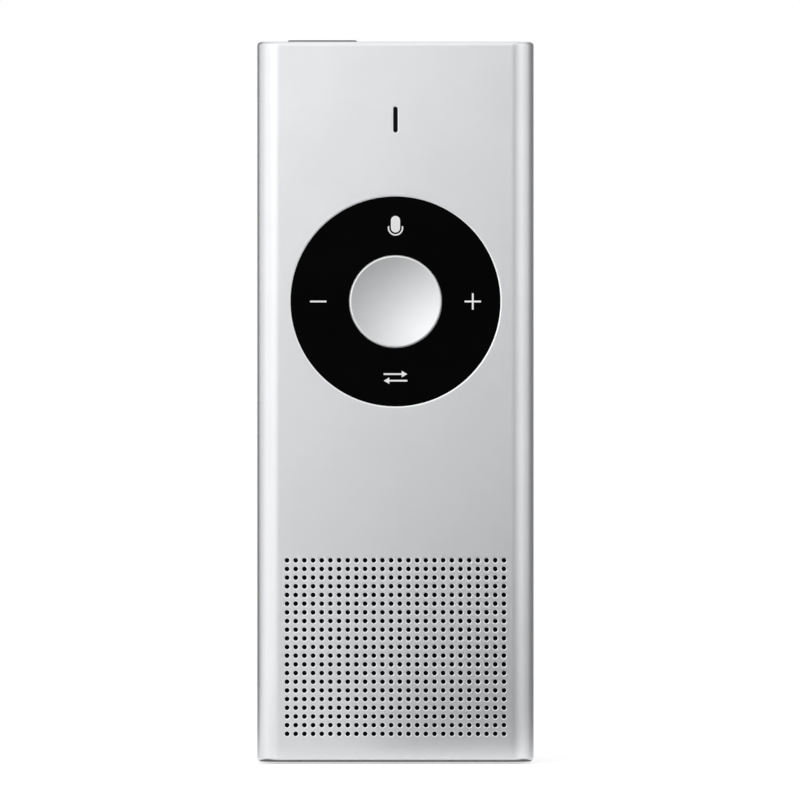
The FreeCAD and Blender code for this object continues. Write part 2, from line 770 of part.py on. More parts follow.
def chip(name, x, width, top, length):
    """A chip on the main board's back, its top edge at a height."""
    return block(
        name,
        (x, f"{x} + {width}"),
        (BOARD_BACK, f"{BOARD_BACK} + chipThick"),
        (f"{top} - {length}", top),
    )


def chips():
    """The processor and the memory under the can, and the power chip beside it."""
    top = f"({SHIELD_TOP} - chipMargin)"
    left = "(-shieldWidth + chipMargin)"
    memory_left = f"({left} + processorSide + chipMargin / 2)"
    return [
        chip("processor_chip", left, "processorSide", top, "processorSide"),
        chip("memory_chip", memory_left, "memoryWidth", top, "processorSide"),
        chip("power_chip", "powerChipFromCentre", "powerChipSide", top, "powerChipSide"),
    ]


# Key ring


def compass():
    """Name, x and z of the four places where the key ring presses."""
    return [
        ("east", NUB_AT, KEY_Z),
        ("north", "0", f"{KEY_Z} + {NUB_AT}"),
        ("west", f"-{NUB_AT}", KEY_Z),
        ("south", "0", f"{KEY_Z} - {NUB_AT}"),
    ]


def washer(name, radii, ends):
    """A flat ring about the key's centre."""
    body = new_body(name)
    outline = new_sketch(body, "outline", "XZ_Plane", f"-({ends[0]})")
    draw_circle(outline, "inner", radii[0], y=KEY_Z)
    draw_circle(outline, "outer", radii[1], y=KEY_Z)
    pad(body, outline, f"({ends[1]}) - ({ends[0]})", backwards=True)
    return body


def ring_key():
    """The black key ring: its face plate and the hub that holds the upright pins."""
    face = washer("key_face", (KEY_BORE, KEY_RADIUS), (KEY_FACE, KEY_BACK))
    hub = washer("key_hub", (HUB_INNER, HUB_OUTER), (KEY_BACK, f"{TILT_BACK} - frameSetback"))
    holes = []
    for side, sign in (("low", -1), ("high", 1)):
        holes.append(pin(f"key_pin_hole_{side}", "z", sign, f"{HUB_OUTER} - pinHold", f"{HUB_OUTER} + 1"))
    return cut("ring_key", fuse("key_solid", face, hub), *holes)


def pin(name, axis, sign, near, far, grow="0"):
    """A pin or pin hole from one radius to another on one side of the key's centre."""
    start, end = (near, far) if sign > 0 else (f"-({far})", f"-({near})")
    if axis == "x":
        return rod(name, "x", f"pinDia / 2 + {grow}", (start, end), (TILT_AXIS, KEY_Z))
    ends = (f"{KEY_Z} + ({start})", f"{KEY_Z} + ({end})")
    return rod(name, "z", f"pinDia / 2 + {grow}", ends, ("0", TILT_AXIS))


def upright_pins():
    """The two steel pins in the key ring's hub, about which it rocks left and right."""
    near, far = f"{HUB_OUTER} - pinHold", f"{TILT_OUTER} - ringRoom"
    pins = [pin(f"upright_pin_{side}", "z", sign, near, far) for side, sign in (("low", -1), ("high", 1))]
    return group("upright_pins", *pins)


def tilt_ring():
    """The ring between the frame and the key: it rocks up and down and carries the key."""
    ring = washer("tilt_washer", (TILT_INNER, TILT_OUTER), (TILT_FRONT, TILT_BACK))
    holes = []
    for side, sign in (("low", -1), ("high", 1)):
        through = (f"{TILT_INNER} - 1", f"{TILT_OUTER} + 1")
        holes.append(pin(f"tilt_hole_{side}", "z", sign, *through, grow="pinFit"))
        blind = (f"{TILT_OUTER} - pinHold", f"{TILT_OUTER} + 1")
        holes.append(pin(f"tilt_socket_{side}", "x", sign, *blind))
    return cut("tilt_ring", ring, *holes)


def cross_pins():
    """The two steel pins in the tilting ring, about which it rocks in the frame."""
    near, far = f"{TILT_OUTER} - pinHold", f"{FRAME_BORE} + pinReach - ringRoom"
    pins = [pin(f"cross_pin_{side}", "x", sign, near, far) for side, sign in (("left", -1), ("right", 1))]
    return group("cross_pins", *pins)


def ring_nubs():
    """Four rubber nubs behind the key ring, one over each dome."""
    nubs = [rod(f"ring_nub_{name}", "y", "nubDia / 2", (KEY_BACK, BUTTON_END), (x, z)) for name, x, z in compass()]
    return group("ring_nubs", *nubs)


def dome(name, x, z):
    """A snap dome on the board's front, a shallow hollow cone."""
    base = (x, BOARD_FRONT, z)
    outer = frustum(f"{name}_outer", "-y", ("domeDia / 2", "domeDia / 4"), "domeRise", base)
    radii = ("domeDia / 2 - domeSkin", "domeDia / 4 - domeSkin")
    inner = frustum(f"{name}_inner", "-y", radii, "domeRise - domeSkin", base)
    return cut(name, outer, inner)


def ring_domes():
    """The four snap domes under the key ring."""
    return group("ring_domes", *[dome(f"ring_dome_{name}", x, z) for name, x, z in compass()])


def ring_symbols():
    """Printed symbols on the ring: minus, plus, a microphone and two opposed arrows."""
    printed = (f"{KEY_FACE} - symbolLift", KEY_FACE)
    half, thin = "symbolSpan / 2", "symbolStroke / 2"
    beside = (f"{KEY_Z} - {thin}", f"{KEY_Z} + {thin}")
    minus = block("symbol_minus", (f"-symbolOffset - {half}", f"-symbolOffset + {half}"), printed, beside)
    bar = block("symbol_bar", (f"symbolOffset - {half}", f"symbolOffset + {half}"), printed, beside)
    across = (f"symbolOffset - {thin}", f"symbolOffset + {thin}")
    post = block("symbol_post", across, printed, (f"{KEY_Z} - {half}", f"{KEY_Z} + {half}"))
    plus = fuse("symbol_plus", bar, post)
    return group("ring_symbols", minus, plus, *microphone_symbol(printed), *arrow_symbol(printed))


def microphone_symbol(printed):
    """A capsule with the cradle that goes round its lower half."""
    centre = f"({KEY_Z} + symbolOffset)"
    body = new_body("symbol_capsule")
    outline = new_sketch(body, "outline", "XZ_Plane", f"-({printed[0]})")
    draw_pill(outline, "outer", "(micHeight - micWidth) / 2", "micWidth / 2", y=centre, upright=True)
    pad(body, outline, "symbolLift", backwards=True)
    low = f"({centre} - (micHeight - micWidth) / 2)"
    outer = rod("cradle_outer", "y", "micCradle / 2", printed, ("0", low))
    inner = rod("cradle_inner", "y", "micCradle / 2 - micLine", printed, ("0", low))
    above = (f"{low} + micArmRise", f"{low} + micCradle")
    upper = block("cradle_upper", ("-micCradle", "micCradle"), printed, above)
    return [body, cut("symbol_cradle", outer, inner, upper)]


def arrow_symbol(printed):
    """Two arrows, the upper one to the right and the lower one to the left."""
    arrows = []
    for side, sign in (("upper", 1), ("lower", -1)):
        z = f"({KEY_Z} - arrowsFromCentre + {sign} * arrowGap / 2)"
        tip = f"({sign} * (arrowSpan / 2 - arrowHead))"
        tail = f"(-{sign} * arrowSpan / 2)"
        ends = (tail, tip) if sign > 0 else (tip, tail)
        thin = "symbolStroke / 2"
        shaft = block(f"arrow_{side}_shaft", ends, printed, (f"{z} - {thin}", f"{z} + {thin}"))
        head = doc.addObject("Part::Prism", f"arrow_{side}_head")
        head.Polygon = 3
        bind(head, Circumradius="arrowHead", Height="symbolLift")
        facing = FreeCAD.Rotation(V(0, 0, 1), 0 if sign > 0 else 180)
        turn = TURN["y"].multiply(facing)
        put(head, turn, tip, printed[0], z)
        arrows.append(fuse(f"symbol_arrow_{side}", shaft, head))
    return arrows


# Centre button


def centre_button():
    """The dished centre button with the flange that keeps it under the key ring."""
    at = ("0", KEY_FACE, KEY_Z)
    rim = frustum("centre_rim", "y", (f"{CENTRE_RADIUS} - centreChamfer", CENTRE_RADIUS), "centreChamfer", at)
    face_end = f"{KEY_FACE} + centreCapThick"
    core = rod("centre_core", "y", CENTRE_RADIUS, (f"{KEY_FACE} + centreChamfer", CENTRE_BACK), ("0", KEY_Z))
    flange = rod("centre_flange", "y", FLANGE_RADIUS, (face_end, CENTRE_BACK), ("0", KEY_Z))
    ball = doc.addObject("Part::Sphere", "centre_ball")
    dish_radius = f"({CENTRE_RADIUS} - centreChamfer)"
    ball_radius = f"(({dish_radius}^2 + centreDish^2) / (2 * centreDish))"
    bind(ball, Radius=ball_radius)
    put(ball, TURN["z"], "0", f"{KEY_FACE} + centreDish - {ball_radius}", KEY_Z)
    return cut("centre_button", fuse("centre_solid", rim, core, flange), ball)


def centre_stem():
    """The rubber stem behind the centre button."""
    return rod("centre_stem", "y", "stemDia / 2", (CENTRE_BACK, BUTTON_END), ("0", KEY_Z))


# Status light


def status_lens():
    """The dark light guide in the status slot, with a flange behind the wall."""
    body = new_body("status_lens")
    front = f"({FRONT} + lensSetback)"
    guide = new_sketch(body, "guide", "XZ_Plane", f"-{front}")
    run = "(slotLength - slotWidth) / 2"
    draw_pill(guide, "guide", run, "slotWidth / 2 - lensFit", y=SLOT_Z, upright=True)
    lens_back = f"({BOARD_FRONT} - lampThick - lensFit)"
    pad(body, guide, f"{lens_back} - {front}", backwards=True)
    flange = new_sketch(body, "flange", "XZ_Plane", f"-{FRONT_INNER}")
    draw_pill(flange, "flange", run, "slotWidth / 2 + lensFlangeReach - lensFit", y=SLOT_Z, upright=True)
    pad(body, flange, "(tiltRoom + frameSetback)", backwards=True)
    return body


def status_lamp():
    """The lamp on the main board behind the light guide."""
    half = "lampSize / 2"
    lamp_z = (f"{SLOT_Z} - {half}", f"{SLOT_Z} + {half}")
    return block("status_lamp", (f"-{half}", half), (f"{BOARD_FRONT} - lampThick", BOARD_FRONT), lamp_z)


# Power key


def power_button():
    """The power key in the top cap, with a flange under the cap."""
    body = new_body("power_button")
    flange = new_sketch(body, "flange", "XY_Plane", POWER_FLANGE_END)
    run = "(powerLength - powerDepth) / 2"
    draw_pill(flange, "flange", run, "powerDepth / 2 + powerFlangeReach", x=POWER_X)
    pad(body, flange, "powerFlangeThick")
    head = new_sketch(body, "head", "XY_Plane", POWER_FLANGE_END)
    draw_pill(head, "head", run, "powerDepth / 2", x=POWER_X)
    raised = pad(body, head, f"bodyLength + powerProud - {POWER_FLANGE_END}")
    top = value("bodyLength + powerProud")
    crown = edges_where(raised, lambda edge: edge.BoundBox.ZMin > top - 1e-6)
    dress(body, "Fillet", raised, crown, "crown", Radius="powerProud * 0.8")
    return body


def plunger_span(grow):
    """Where the switch's plunger lies in x and y, grown by a gap."""
    half = f"(plungerWidth / 2 + {grow})"
    middle = f"({BOARD_FRONT} - plungerDepth)"
    deep = f"(plungerDepth / 2 + {grow})"
    x = (f"{POWER_X} - {half}", f"{POWER_X} + {half}")
    return x, (f"{middle} - {deep}", f"{middle} + {deep}")


def switch_plunger():
    """The plunger between the power key's flange and the switch."""
    x, y = plunger_span("0")
    return block("switch_plunger", x, y, (f"{SWITCH_TOP} - plungerSink", POWER_FLANGE_END))


def power_switch():
    """The side-push switch on the main board, hollow where the plunger goes in."""
    half = "switchWidth / 2"
    case = block(
        "switch_case",
        (f"{POWER_X} - {half}", f"{POWER_X} + {half}"),
        (f"{BOARD_FRONT} - 2 * plungerDepth", BOARD_FRONT),
        (f"{SWITCH_TOP} - switchLength", SWITCH_TOP),
    )
    x, y = plunger_span("plungerGap")
    pit = block("switch_pit", x, y, (f"{SWITCH_TOP} - 2 * plungerSink", f"{SWITCH_TOP} + 1"))
    return cut("power_switch", case, pit)


# Microphones and antenna


def sound_boot(name, x, y, z, hole):
    """A rubber boot that leads sound from an end cap's hole to a microphone."""
    half = "bootWidth / 2"
    skin = block(f"{name}_skin", (f"{x} - {half}", f"{x} + {half}"), y, z)
    duct = rod(f"{name}_duct", "z", "micHoleDia / 2", z, (x, hole))
    return cut(name, skin, duct)


def microphone_top():
    """The microphone behind the top cap, on the main board's front."""
    x = (f"{MIC_TOP_X} - micCaseWidth / 2", f"{MIC_TOP_X} + micCaseWidth / 2")
    y = (f"{BOARD_FRONT} - micCaseThick", BOARD_FRONT)
    return block("microphone_top", x, y, (f"{MIC_TOP_END} - micCaseLength", MIC_TOP_END))


def mic_boot_top():
    """The boot from the top cap to its microphone."""
    y = (f"{BOARD_FRONT} - micCaseThick - bootLip", f"{BOARD_FRONT} + bootLip")
    z = (MIC_TOP_END, TOP_CAP_UNDER)
    stem = sound_boot("mic_boot_top_stem", MIC_TOP_X, y, z, f"{BOARD_FRONT} - micCaseThick / 2")
    edge = (f"{MIC_TOP_X} - bootWidth", f"{MIC_TOP_X} + bootWidth")
    room = block("mic_boot_top_room", edge, (BOARD_FRONT, f"{BOARD_BACK} + 1"), (MIC_TOP_END, BOARD_TOP))
    return cut("mic_boot_top", stem, room)


def microphone_bottom():
    """The microphone behind the bottom cap, on the socket's board."""
    x = ("micBottomFromCentre - micCaseWidth / 2", "micBottomFromCentre + micCaseWidth / 2")
    y = (f"{RAIL_BACK} - micCaseThick", RAIL_BACK)
    return block("microphone_bottom", x, y, (MIC_BOTTOM_END, f"{MIC_BOTTOM_END} + micCaseLength"))


def mic_boot_bottom():
    """The boot from the bottom cap to its microphone."""
    y = (f"{RAIL_BACK} - micCaseThick - bootLip", RAIL_BACK)
    hole = f"{RAIL_BACK} - micCaseThick / 2"
    return sound_boot("mic_boot_bottom", "micBottomFromCentre", y, ("capThick", MIC_BOTTOM_END), hole)


def antenna_strip():
    """The antenna strip on the underside of the top cap."""
    x = (f"{RAIL_INNER} - antennaFromRail - antennaLength", f"{RAIL_INNER} - antennaFromRail")
    y = ("-antennaWidth / 2", "antennaWidth / 2")
    return block("antenna_strip", x, y, (f"{TOP_CAP_UNDER} - antennaThick", TOP_CAP_UNDER))


# Loudspeaker


def grille_mesh():
    """The black dust mesh behind the grille holes."""
    half = f"({GRILLE_HALF} + meshMargin)"
    z = ("grilleBottom - meshMargin", f"{GRILLE_TOP} + meshMargin")
    return block("grille_mesh", (f"-{half}", half), (FRONT_INNER, MESH_BACK), z)


def speaker_room(name, y):
    """The space inside the loudspeaker's walls, between two planes."""
    half = f"({BOARD_HALF} - speakerWall)"
    z = (f"{SPEAKER_BOTTOM} + speakerWall", f"{SPEAKER_TOP} - speakerWall")
    return block(name, (f"-{half}", half), y, z)


def speaker_gasket():
    """The foam gasket between the mesh and the loudspeaker's rim."""
    y = (MESH_BACK, SPEAKER_FRONT)
    rim = block("gasket_rim", (f"-{BOARD_HALF}", BOARD_HALF), y, (SPEAKER_BOTTOM, SPEAKER_TOP))
    return cut("speaker_gasket", rim, speaker_room("gasket_room", (f"{MESH_BACK} - 1", f"{SPEAKER_FRONT} + 1")))


def speaker_basket():
    """The loudspeaker's moulded box, open to the front, with the yoke's hole in its floor."""
    y = (SPEAKER_FRONT, SPEAKER_BACK)
    box = block("basket_box", (f"-{BOARD_HALF}", BOARD_HALF), y, (SPEAKER_BOTTOM, SPEAKER_TOP))
    room = speaker_room("basket_room", (f"{SPEAKER_FRONT} - 1", f"{SPEAKER_BACK} - speakerFloor"))
    through = (f"{SPEAKER_FRONT} - 1", f"{SPEAKER_BACK} + 1")
    hole = rod("basket_hole", "y", f"{YOKE_OUTER} + threadFit", through, ("0", SPEAKER_Z))
    return cut("speaker_basket", box, fuse("basket_tools", room, hole))


def speaker_yoke():
    """The steel cup round the magnet."""
    cup = rod("yoke_cup", "y", YOKE_OUTER, (POLE_FRONT, SPEAKER_BACK), ("0", SPEAKER_Z))
    room = rod("yoke_room", "y", YOKE_INNER, (f"{POLE_FRONT} - 1", MAGNET_BACK), ("0", SPEAKER_Z))
    return cut("speaker_yoke", cup, room)


def speaker_magnet():
    """The disc magnet on the yoke's floor."""
    return rod("speaker_magnet", "y", POLE_RADIUS, (MAGNET_FRONT, MAGNET_BACK), ("0", SPEAKER_Z))


def speaker_pole():
    """The pole plate on the magnet."""
    return rod("speaker_pole", "y", POLE_RADIUS, (POLE_FRONT, MAGNET_FRONT), ("0", SPEAKER_Z))


def voice_coil():
    """The coil behind the diaphragm, in the gap between pole and yoke."""
    ends = (DIAPHRAGM_BACK, f"{MAGNET_BACK} - coilRoom")
    coil = rod("coil_outer", "y", COIL_OUTER, ends, ("0", SPEAKER_Z))
    room = rod("coil_inner", "y", COIL_INNER, (f"{ends[0]} - 1", f"{ends[1]} + 1"), ("0", SPEAKER_Z))
    return cut("voice_coil", coil, room)


def diaphragm_outline(name, front, depth):
    """A racetrack plate of the diaphragm's size."""
    body = new_body(name)
    outline = new_sketch(body, "outline", "XZ_Plane", f"-({front})")
    run = "(diaphragmWidth - diaphragmHeight) / 2"
    draw_pill(outline, "rim", run, "diaphragmHeight / 2", y=SPEAKER_Z)
    pad(body, outline, depth, backwards=True)
    return body


def speaker_diaphragm():
    """The stiff plate that the coil moves."""
    return diaphragm_outline("speaker_diaphragm", DIAPHRAGM_FRONT, "diaphragmThick")


def speaker_surround():
    """The soft skin between the diaphragm and the loudspeaker's walls."""
    sheet = speaker_room("surround_sheet", (DIAPHRAGM_FRONT, f"{DIAPHRAGM_FRONT} + surroundThick"))
    window = diaphragm_outline("surround_window", f"{DIAPHRAGM_FRONT} - 1", "surroundThick + 2")
    return cut("speaker_surround", sheet, window)


def speaker_contacts():
    """Two contact strips from the loudspeaker to the main board's back."""
    strips = []
    for side, sign in (("left", "-"), ("right", "+")):
        middle = f"({sign}contactFromCentre)"
        x = (f"{middle} - contactWidth / 2", f"{middle} + contactWidth / 2")
        y = (BOARD_BACK, f"{BOARD_BACK} + contactThick")
        strips.append(block(f"speaker_contact_{side}", x, y, (SPEAKER_TOP, f"{BOARD_BOTTOM} + contactLap")))
    return group("speaker_contacts", *strips)


# Charging socket


def usb_shell():
    """The socket's metal shell, open at the bottom end."""
    body = new_body("usb_shell")
    outline = new_sketch(body, "outline", "XY_Plane", "usbSetback")
    run = "(usbWidth - usbHeight) / 2"
    draw_pill(outline, "outer", run, "usbHeight / 2")
    pad(body, outline, "usbLength")
    bore = new_sketch(body, "bore", "XY_Plane", "usbSetback")
    draw_pill(bore, "inner", run, "usbHeight / 2 - usbShell")
    pocket(body, bore, "usbLength - usbBack", backwards=True)
    return body


def usb_tongue():
    """The contact tongue inside the socket."""
    half, thin = "tongueWidth / 2", "tongueThick / 2"
    z = ("usbSetback + tongueSetback", f"{USB_END} - usbBack")
    return block("usb_tongue", (f"-{half}", half), (f"-{thin}", thin), z)


def usb_board():
    """The small board behind the socket, lying on the frame's rails."""
    y = (RAIL_BACK, USB_BOARD_BACK)
    z = ("usbBoardBottom", USB_BOARD_TOP)
    return block("usb_board", (f"-{FRAME_HALF} + sideRoom", f"{FRAME_HALF} - sideRoom"), y, z)


def usb_flex():
    """The flat cable behind the loudspeaker, from the socket's board to the main board."""
    x = ("-flexWidth / 2", "flexWidth / 2")
    top = f"({BOARD_BOTTOM} + contactLap)"
    back = (USB_BOARD_BACK, f"{USB_BOARD_BACK} + flexThick")
    long = block("flex_long", x, back, (f"{USB_BOARD_TOP} - flexLap", top))
    step = block("flex_step", x, (BOARD_BACK, back[1]), (f"{top} - flexThick", top))
    foot_z = (f"{BOARD_BOTTOM} + contactThick", top)
    foot = block("flex_foot", x, (BOARD_BACK, f"{BOARD_BACK} + flexThick"), foot_z)
    return fuse("usb_flex", long, step, foot)


def make_parts():
    """Every sub-part of the translator, each with its own name."""
    return [
        housing_sleeve(),
        top_cap(),
        bottom_cap(),
        cap_screws(),
        inner_frame(),
        main_board(),
        board_screws(),
        battery_pad(),
        battery_cell(),
        battery_connector(),
        battery_leads(),
        shield_can(),
        *chips(),
        ring_key(),
        upright_pins(),
        tilt_ring(),
        cross_pins(),
        ring_nubs(),
        ring_domes(),
        ring_symbols(),
        centre_button(),
        centre_stem(),
        dome("centre_dome", "0", KEY_Z),
        status_lens(),
        status_lamp(),
        power_button(),
        switch_plunger(),
        power_switch(),
        microphone_top(),
        mic_boot_top(),
        microphone_bottom(),
        mic_boot_bottom(),
        antenna_strip(),
        grille_mesh(),
        speaker_gasket(),
        speaker_basket(),
        speaker_yoke(),
        speaker_magnet(),
        speaker_pole(),
        voice_coil(),
        speaker_diaphragm(),
        speaker_surround(),
        speaker_contacts(),
        usb_shell(),
        usb_tongue(),
        usb_board(),
        usb_flex(),
    ]


def check_model(parts):
    """Stops if any feature failed or any sub-part isn't a sound shape."""
    for thing in doc.Objects:
        if {"Invalid", "Error"} & set(thing.State):
            raise RuntimeError(f"{thing.Name} failed: {thing.State}")
    for part in parts:
        if part.Shape.isNull() or not part.Shape.isValid():
            raise RuntimeError(f"{part.Label} has no sound shape")
        if not part.Shape.Solids:
            raise RuntimeError(f"{part.Label} holds no solid")


def write_parts(parts):
    """Writes each sub-part to a STEP file named after it."""
    os.makedirs("parts", exist_ok=True)
    for part in parts:
        part.Shape.exportStep(f"parts/{part.Label}.step")
        print(f"{part.Label}: {len(part.Shape.Solids)} solid(s), {part.Shape.Volume:.1f} cubic mm")


make_sheet()
PARTS = make_parts()
doc.recompute()
check_model(PARTS)
write_parts(PARTS)
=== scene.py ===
import logging
import math
from collections.abc import Iterable
from dataclasses import dataclass, field
from enum import Enum

import bmesh
import bpy
from mathutils import Matrix, Vector


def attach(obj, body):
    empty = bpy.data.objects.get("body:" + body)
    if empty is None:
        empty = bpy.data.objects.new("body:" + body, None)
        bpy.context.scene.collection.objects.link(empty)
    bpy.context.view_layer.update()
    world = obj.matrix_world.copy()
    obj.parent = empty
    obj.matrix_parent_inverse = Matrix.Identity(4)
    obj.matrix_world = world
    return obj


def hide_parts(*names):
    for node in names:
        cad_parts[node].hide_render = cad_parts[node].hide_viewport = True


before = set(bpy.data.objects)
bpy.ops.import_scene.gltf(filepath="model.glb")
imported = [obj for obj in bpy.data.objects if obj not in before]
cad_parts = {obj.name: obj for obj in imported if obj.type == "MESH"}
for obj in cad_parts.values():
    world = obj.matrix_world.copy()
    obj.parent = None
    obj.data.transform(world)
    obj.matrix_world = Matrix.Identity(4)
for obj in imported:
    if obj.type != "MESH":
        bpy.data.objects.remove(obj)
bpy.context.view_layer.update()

# A slim handheld translator. Pieces are modelled in millimetres in the part's own frame, with X to
# the right, Y to the back and Z up, and each mesh is brought to metres when it is finished.

MM = 0.001
# Points closer than this many millimetres count as one place.
WELD = 1e-4
SHARP = math.radians(32)
# Gaps with up to this many sides are closed when a mesh is finished.
LARGEST_GAP = 12
FILL_TURN = math.radians(13.3)
log = logging.getLogger("translator")

# Sizes that several pieces share, in millimetres. A run is half the length of a pill's centre line.
BODY_LENGTH = 131.0
BODY_RUN = 21.2
KEYS_Z = 83.73
KEYS_FACE = -3.9
SOCKET_RUN = 2.84


class Grain(Enum):
    """The kinds of fine surface that the object has."""

    BLASTED = "blasted"
    BRUSHED = "brushed"
    MOULDED = "moulded"
    WOVEN = "woven"
    SMOOTH = "smooth"


class Way(Enum):
    """The way that a plate's front face is turned to look, as degrees about X."""

    UP = -90.0
    DOWN = 90.0


def to_linear(code: str) -> tuple[float, float, float, float]:
    """Turns an sRGB hex colour into linear light.

    Args:
        code: Six hex digits, such as "C8CACC".

    Returns:
        Linear red, green and blue, with an alpha of 1.
    """
    parts = [int(code[at : at + 2], 16) / 255 for at in (0, 2, 4)]
    light = [part / 12.92 if part <= 0.04045 else ((part + 0.055) / 1.055) ** 2.4 for part in parts]
    return light[0], light[1], light[2], 1.0


def add_node(
    tree: bpy.types.NodeTree, kind: str, inputs: dict | None = None, **settings
) -> bpy.types.Node:
    """Adds a node with its settings and its inputs.

    Args:
        tree: The node tree to add to.
        kind: The node's type, without its ShaderNode prefix.
        inputs: Socket name or index to a plain value or to another node's output.
        **settings: Properties set on the node before its inputs.

    Returns:
        The new node.
    """
    node = tree.nodes.new(f"ShaderNode{kind}")
    for name, setting in settings.items():
        setattr(node, name, setting)
    for name, given in (inputs or {}).items():
        if isinstance(given, bpy.types.NodeSocket):
            tree.links.new(given, node.inputs[name])
        else:
            node.inputs[name].default_value = given
    return node


def empty_material(name: str) -> bpy.types.Material:
    """Returns a new material whose node tree is empty."""
    made = bpy.data.materials.new(name)
    made.use_nodes = True
    made.node_tree.nodes.clear()
    return made


@dataclass(frozen=True)
class Finish:
    """One real surface finish, from which a material is made.

    Lengths are in millimetres. The grain is the fine pattern, and the cloud is the slow change of
    tone and sheen that handling leaves. Wear is sparse rubbed specks, thicker with a larger share.
    """

    name: str
    colour: str
    cloud_colour: str
    grain: Grain
    grain_size: float
    grain_depth: float
    roughness: tuple[float, float]
    metallic: float = 0.0
    specular: float = 0.5
    cloud_size: float = 12.0
    coat: float = 0.0
    coat_roughness: float = 0.08
    brushed_length: float = 40.0
    wear_colour: str | None = None
    wear_share: float = 0.03
    wear_size: float = 1.1

    def pattern(self, tree: bpy.types.NodeTree, place: bpy.types.NodeSocket) -> bpy.types.NodeSocket:
        """Builds the fine pattern's height.

        Args:
            tree: The material's node tree.
            place: The surface place in metres.

        Returns:
            A height from 0 to 1.
        """
        per_metre = 1 / (self.grain_size * MM)
        if self.grain is Grain.WOVEN:
            # At half the scale the threads lie 0.63 of the grain size apart.
            threads = []
            for axis in ("X", "Z"):
                wave = {"Vector": place, "Scale": per_metre / 2, "Distortion": 0.2}
                threads.append(add_node(tree, "TexWave", wave, bands_direction=axis).outputs["Fac"])
            crossed = {0: threads[0], 1: threads[1]}
            return add_node(tree, "Math", crossed, operation="MAXIMUM").outputs[0]
        if self.grain is Grain.BRUSHED:
            along = per_metre / self.brushed_length
            stretched = {"Vector": place, "Scale": (per_metre, per_metre, along)}
            moved = add_node(tree, "Mapping", stretched).outputs[0]
            lines = {"Vector": moved, "Scale": 1.0, "Detail": 3.0}
            return add_node(tree, "TexNoise", lines).outputs["Fac"]
        if self.grain is Grain.MOULDED:
            cells = {"Vector": place, "Scale": per_metre, "Smoothness": 0.6}
            return add_node(tree, "TexVoronoi", cells, feature="SMOOTH_F1").outputs["Distance"]
        # Blasted and smooth surfaces have the same grit, which is shallow on a smooth one.
        grit = {"Vector": place, "Scale": per_metre, "Detail": 2.0, "Roughness": 0.6}
        return add_node(tree, "TexNoise", grit).outputs["Fac"]

    def material(self) -> bpy.types.Material:
        """Makes the finish's material, the first time that it is asked for.

        Returns:
            The material.
        """
        known = bpy.data.materials.get(self.name)
        if known:
            return known
        made = empty_material(self.name)
        tree = made.node_tree
        place = add_node(tree, "TexCoord").outputs["Object"]
        height = self.pattern(tree, place)
        cloud = {"Vector": place, "Scale": 1 / (self.cloud_size * MM), "Detail": 3.0, "Roughness": 0.55}
        tone = add_node(tree, "TexNoise", cloud).outputs["Fac"]
        spread = {"Value": tone, "From Min": 0.3, "From Max": 0.7}
        blend = add_node(tree, "MapRange", spread).outputs["Result"]
        colour = mixed(tree, blend, to_linear(self.colour), to_linear(self.cloud_colour))
        if self.wear_colour:
            colour = self.worn(tree, place, colour)
        low, high = self.roughness
        both = add_node(tree, "Math", {0: height, 1: tone}, operation="ADD").outputs[0]
        sheen = {"Value": both, "From Min": 0.6, "From Max": 1.4, "To Min": low, "To Max": high}
        rough = add_node(tree, "MapRange", sheen).outputs["Result"]
        relief = {"Height": height, "Strength": 1.0, "Distance": self.grain_depth * MM}
        bump = add_node(tree, "Bump", relief).outputs["Normal"]
        surface = {
            "Base Color": colour,
            "Roughness": rough,
            "Normal": bump,
            "Metallic": self.metallic,
            "Specular IOR Level": self.specular,
            "Coat Weight": self.coat,
            "Coat Roughness": self.coat_roughness,
        }
        shader = add_node(tree, "BsdfPrincipled", surface)
        add_node(tree, "OutputMaterial", {"Surface": shader.outputs[0]})
        return made

    def worn(
        self, tree: bpy.types.NodeTree, place: bpy.types.NodeSocket, colour: bpy.types.NodeSocket
    ) -> bpy.types.NodeSocket:
        """Adds sparse rubbed specks over the colour.

        Args:
            tree: The material's node tree.
            place: The surface place in metres.
            colour: The colour under the specks.

        Returns:
            The colour with its specks.
        """
        specks = {"Vector": place, "Scale": 1 / (self.wear_size * MM), "Detail": 4.0, "Roughness": 0.7}
        noise = add_node(tree, "TexNoise", specks).outputs["Fac"]
        cut = {"Value": noise, "From Min": 0.72 - self.wear_share, "From Max": 0.74}
        share = add_node(tree, "MapRange", cut).outputs["Result"]
        return mixed(tree, share, colour, to_linear(self.wear_colour))


def mixed(
    tree: bpy.types.NodeTree,
    share: bpy.types.NodeSocket,
    first: bpy.types.NodeSocket | tuple,
    second: tuple,
) -> bpy.types.NodeSocket:
    """Mixes two colours.

    Args:
        tree: The node tree to add to.
        share: How much of the second colour shows, from 0 to 1.
        first: The colour at a share of 0.
        second: The colour at a share of 1.

    Returns:
        The mixed colour.
    """
    # A mix node names its number, vector and colour sockets alike, so the colour ones go by place.
    factor, colour_a, colour_b, result = 0, 6, 7, 2
    given = {factor: share, colour_a: first, colour_b: second}
    return add_node(tree, "Mix", given, data_type="RGBA").outputs[result]


# Finishes


# Extruded 6063 aluminium, bead blasted and clear anodised: soft grey sheen with a very fine sparkle.
BLASTED_ALUMINIUM = Finish(
    "blasted_anodised_aluminium", "DDDEE0", "DADBDD", Grain.BLASTED, 0.12, 0.009, (0.34, 0.4), metallic=1.0
)
# The chamfer is cut after anodising, so it is paler than the housing: a thin bright line, with a
# sheen dull enough to keep that line even all round.
CUT_ALUMINIUM = Finish(
    "diamond_cut_aluminium", "F2F3F4", "EEEFF0", Grain.BRUSHED, 0.05, 0.0005, (0.46, 0.54), metallic=1.0
)
# The button's dish is blasted finer than the housing and reads a little smoother.
DISH_ALUMINIUM = Finish(
    "fine_blasted_aluminium", "DADBDC", "D6D7D8", Grain.BLASTED, 0.06, 0.002, (0.27, 0.33), metallic=1.0
)
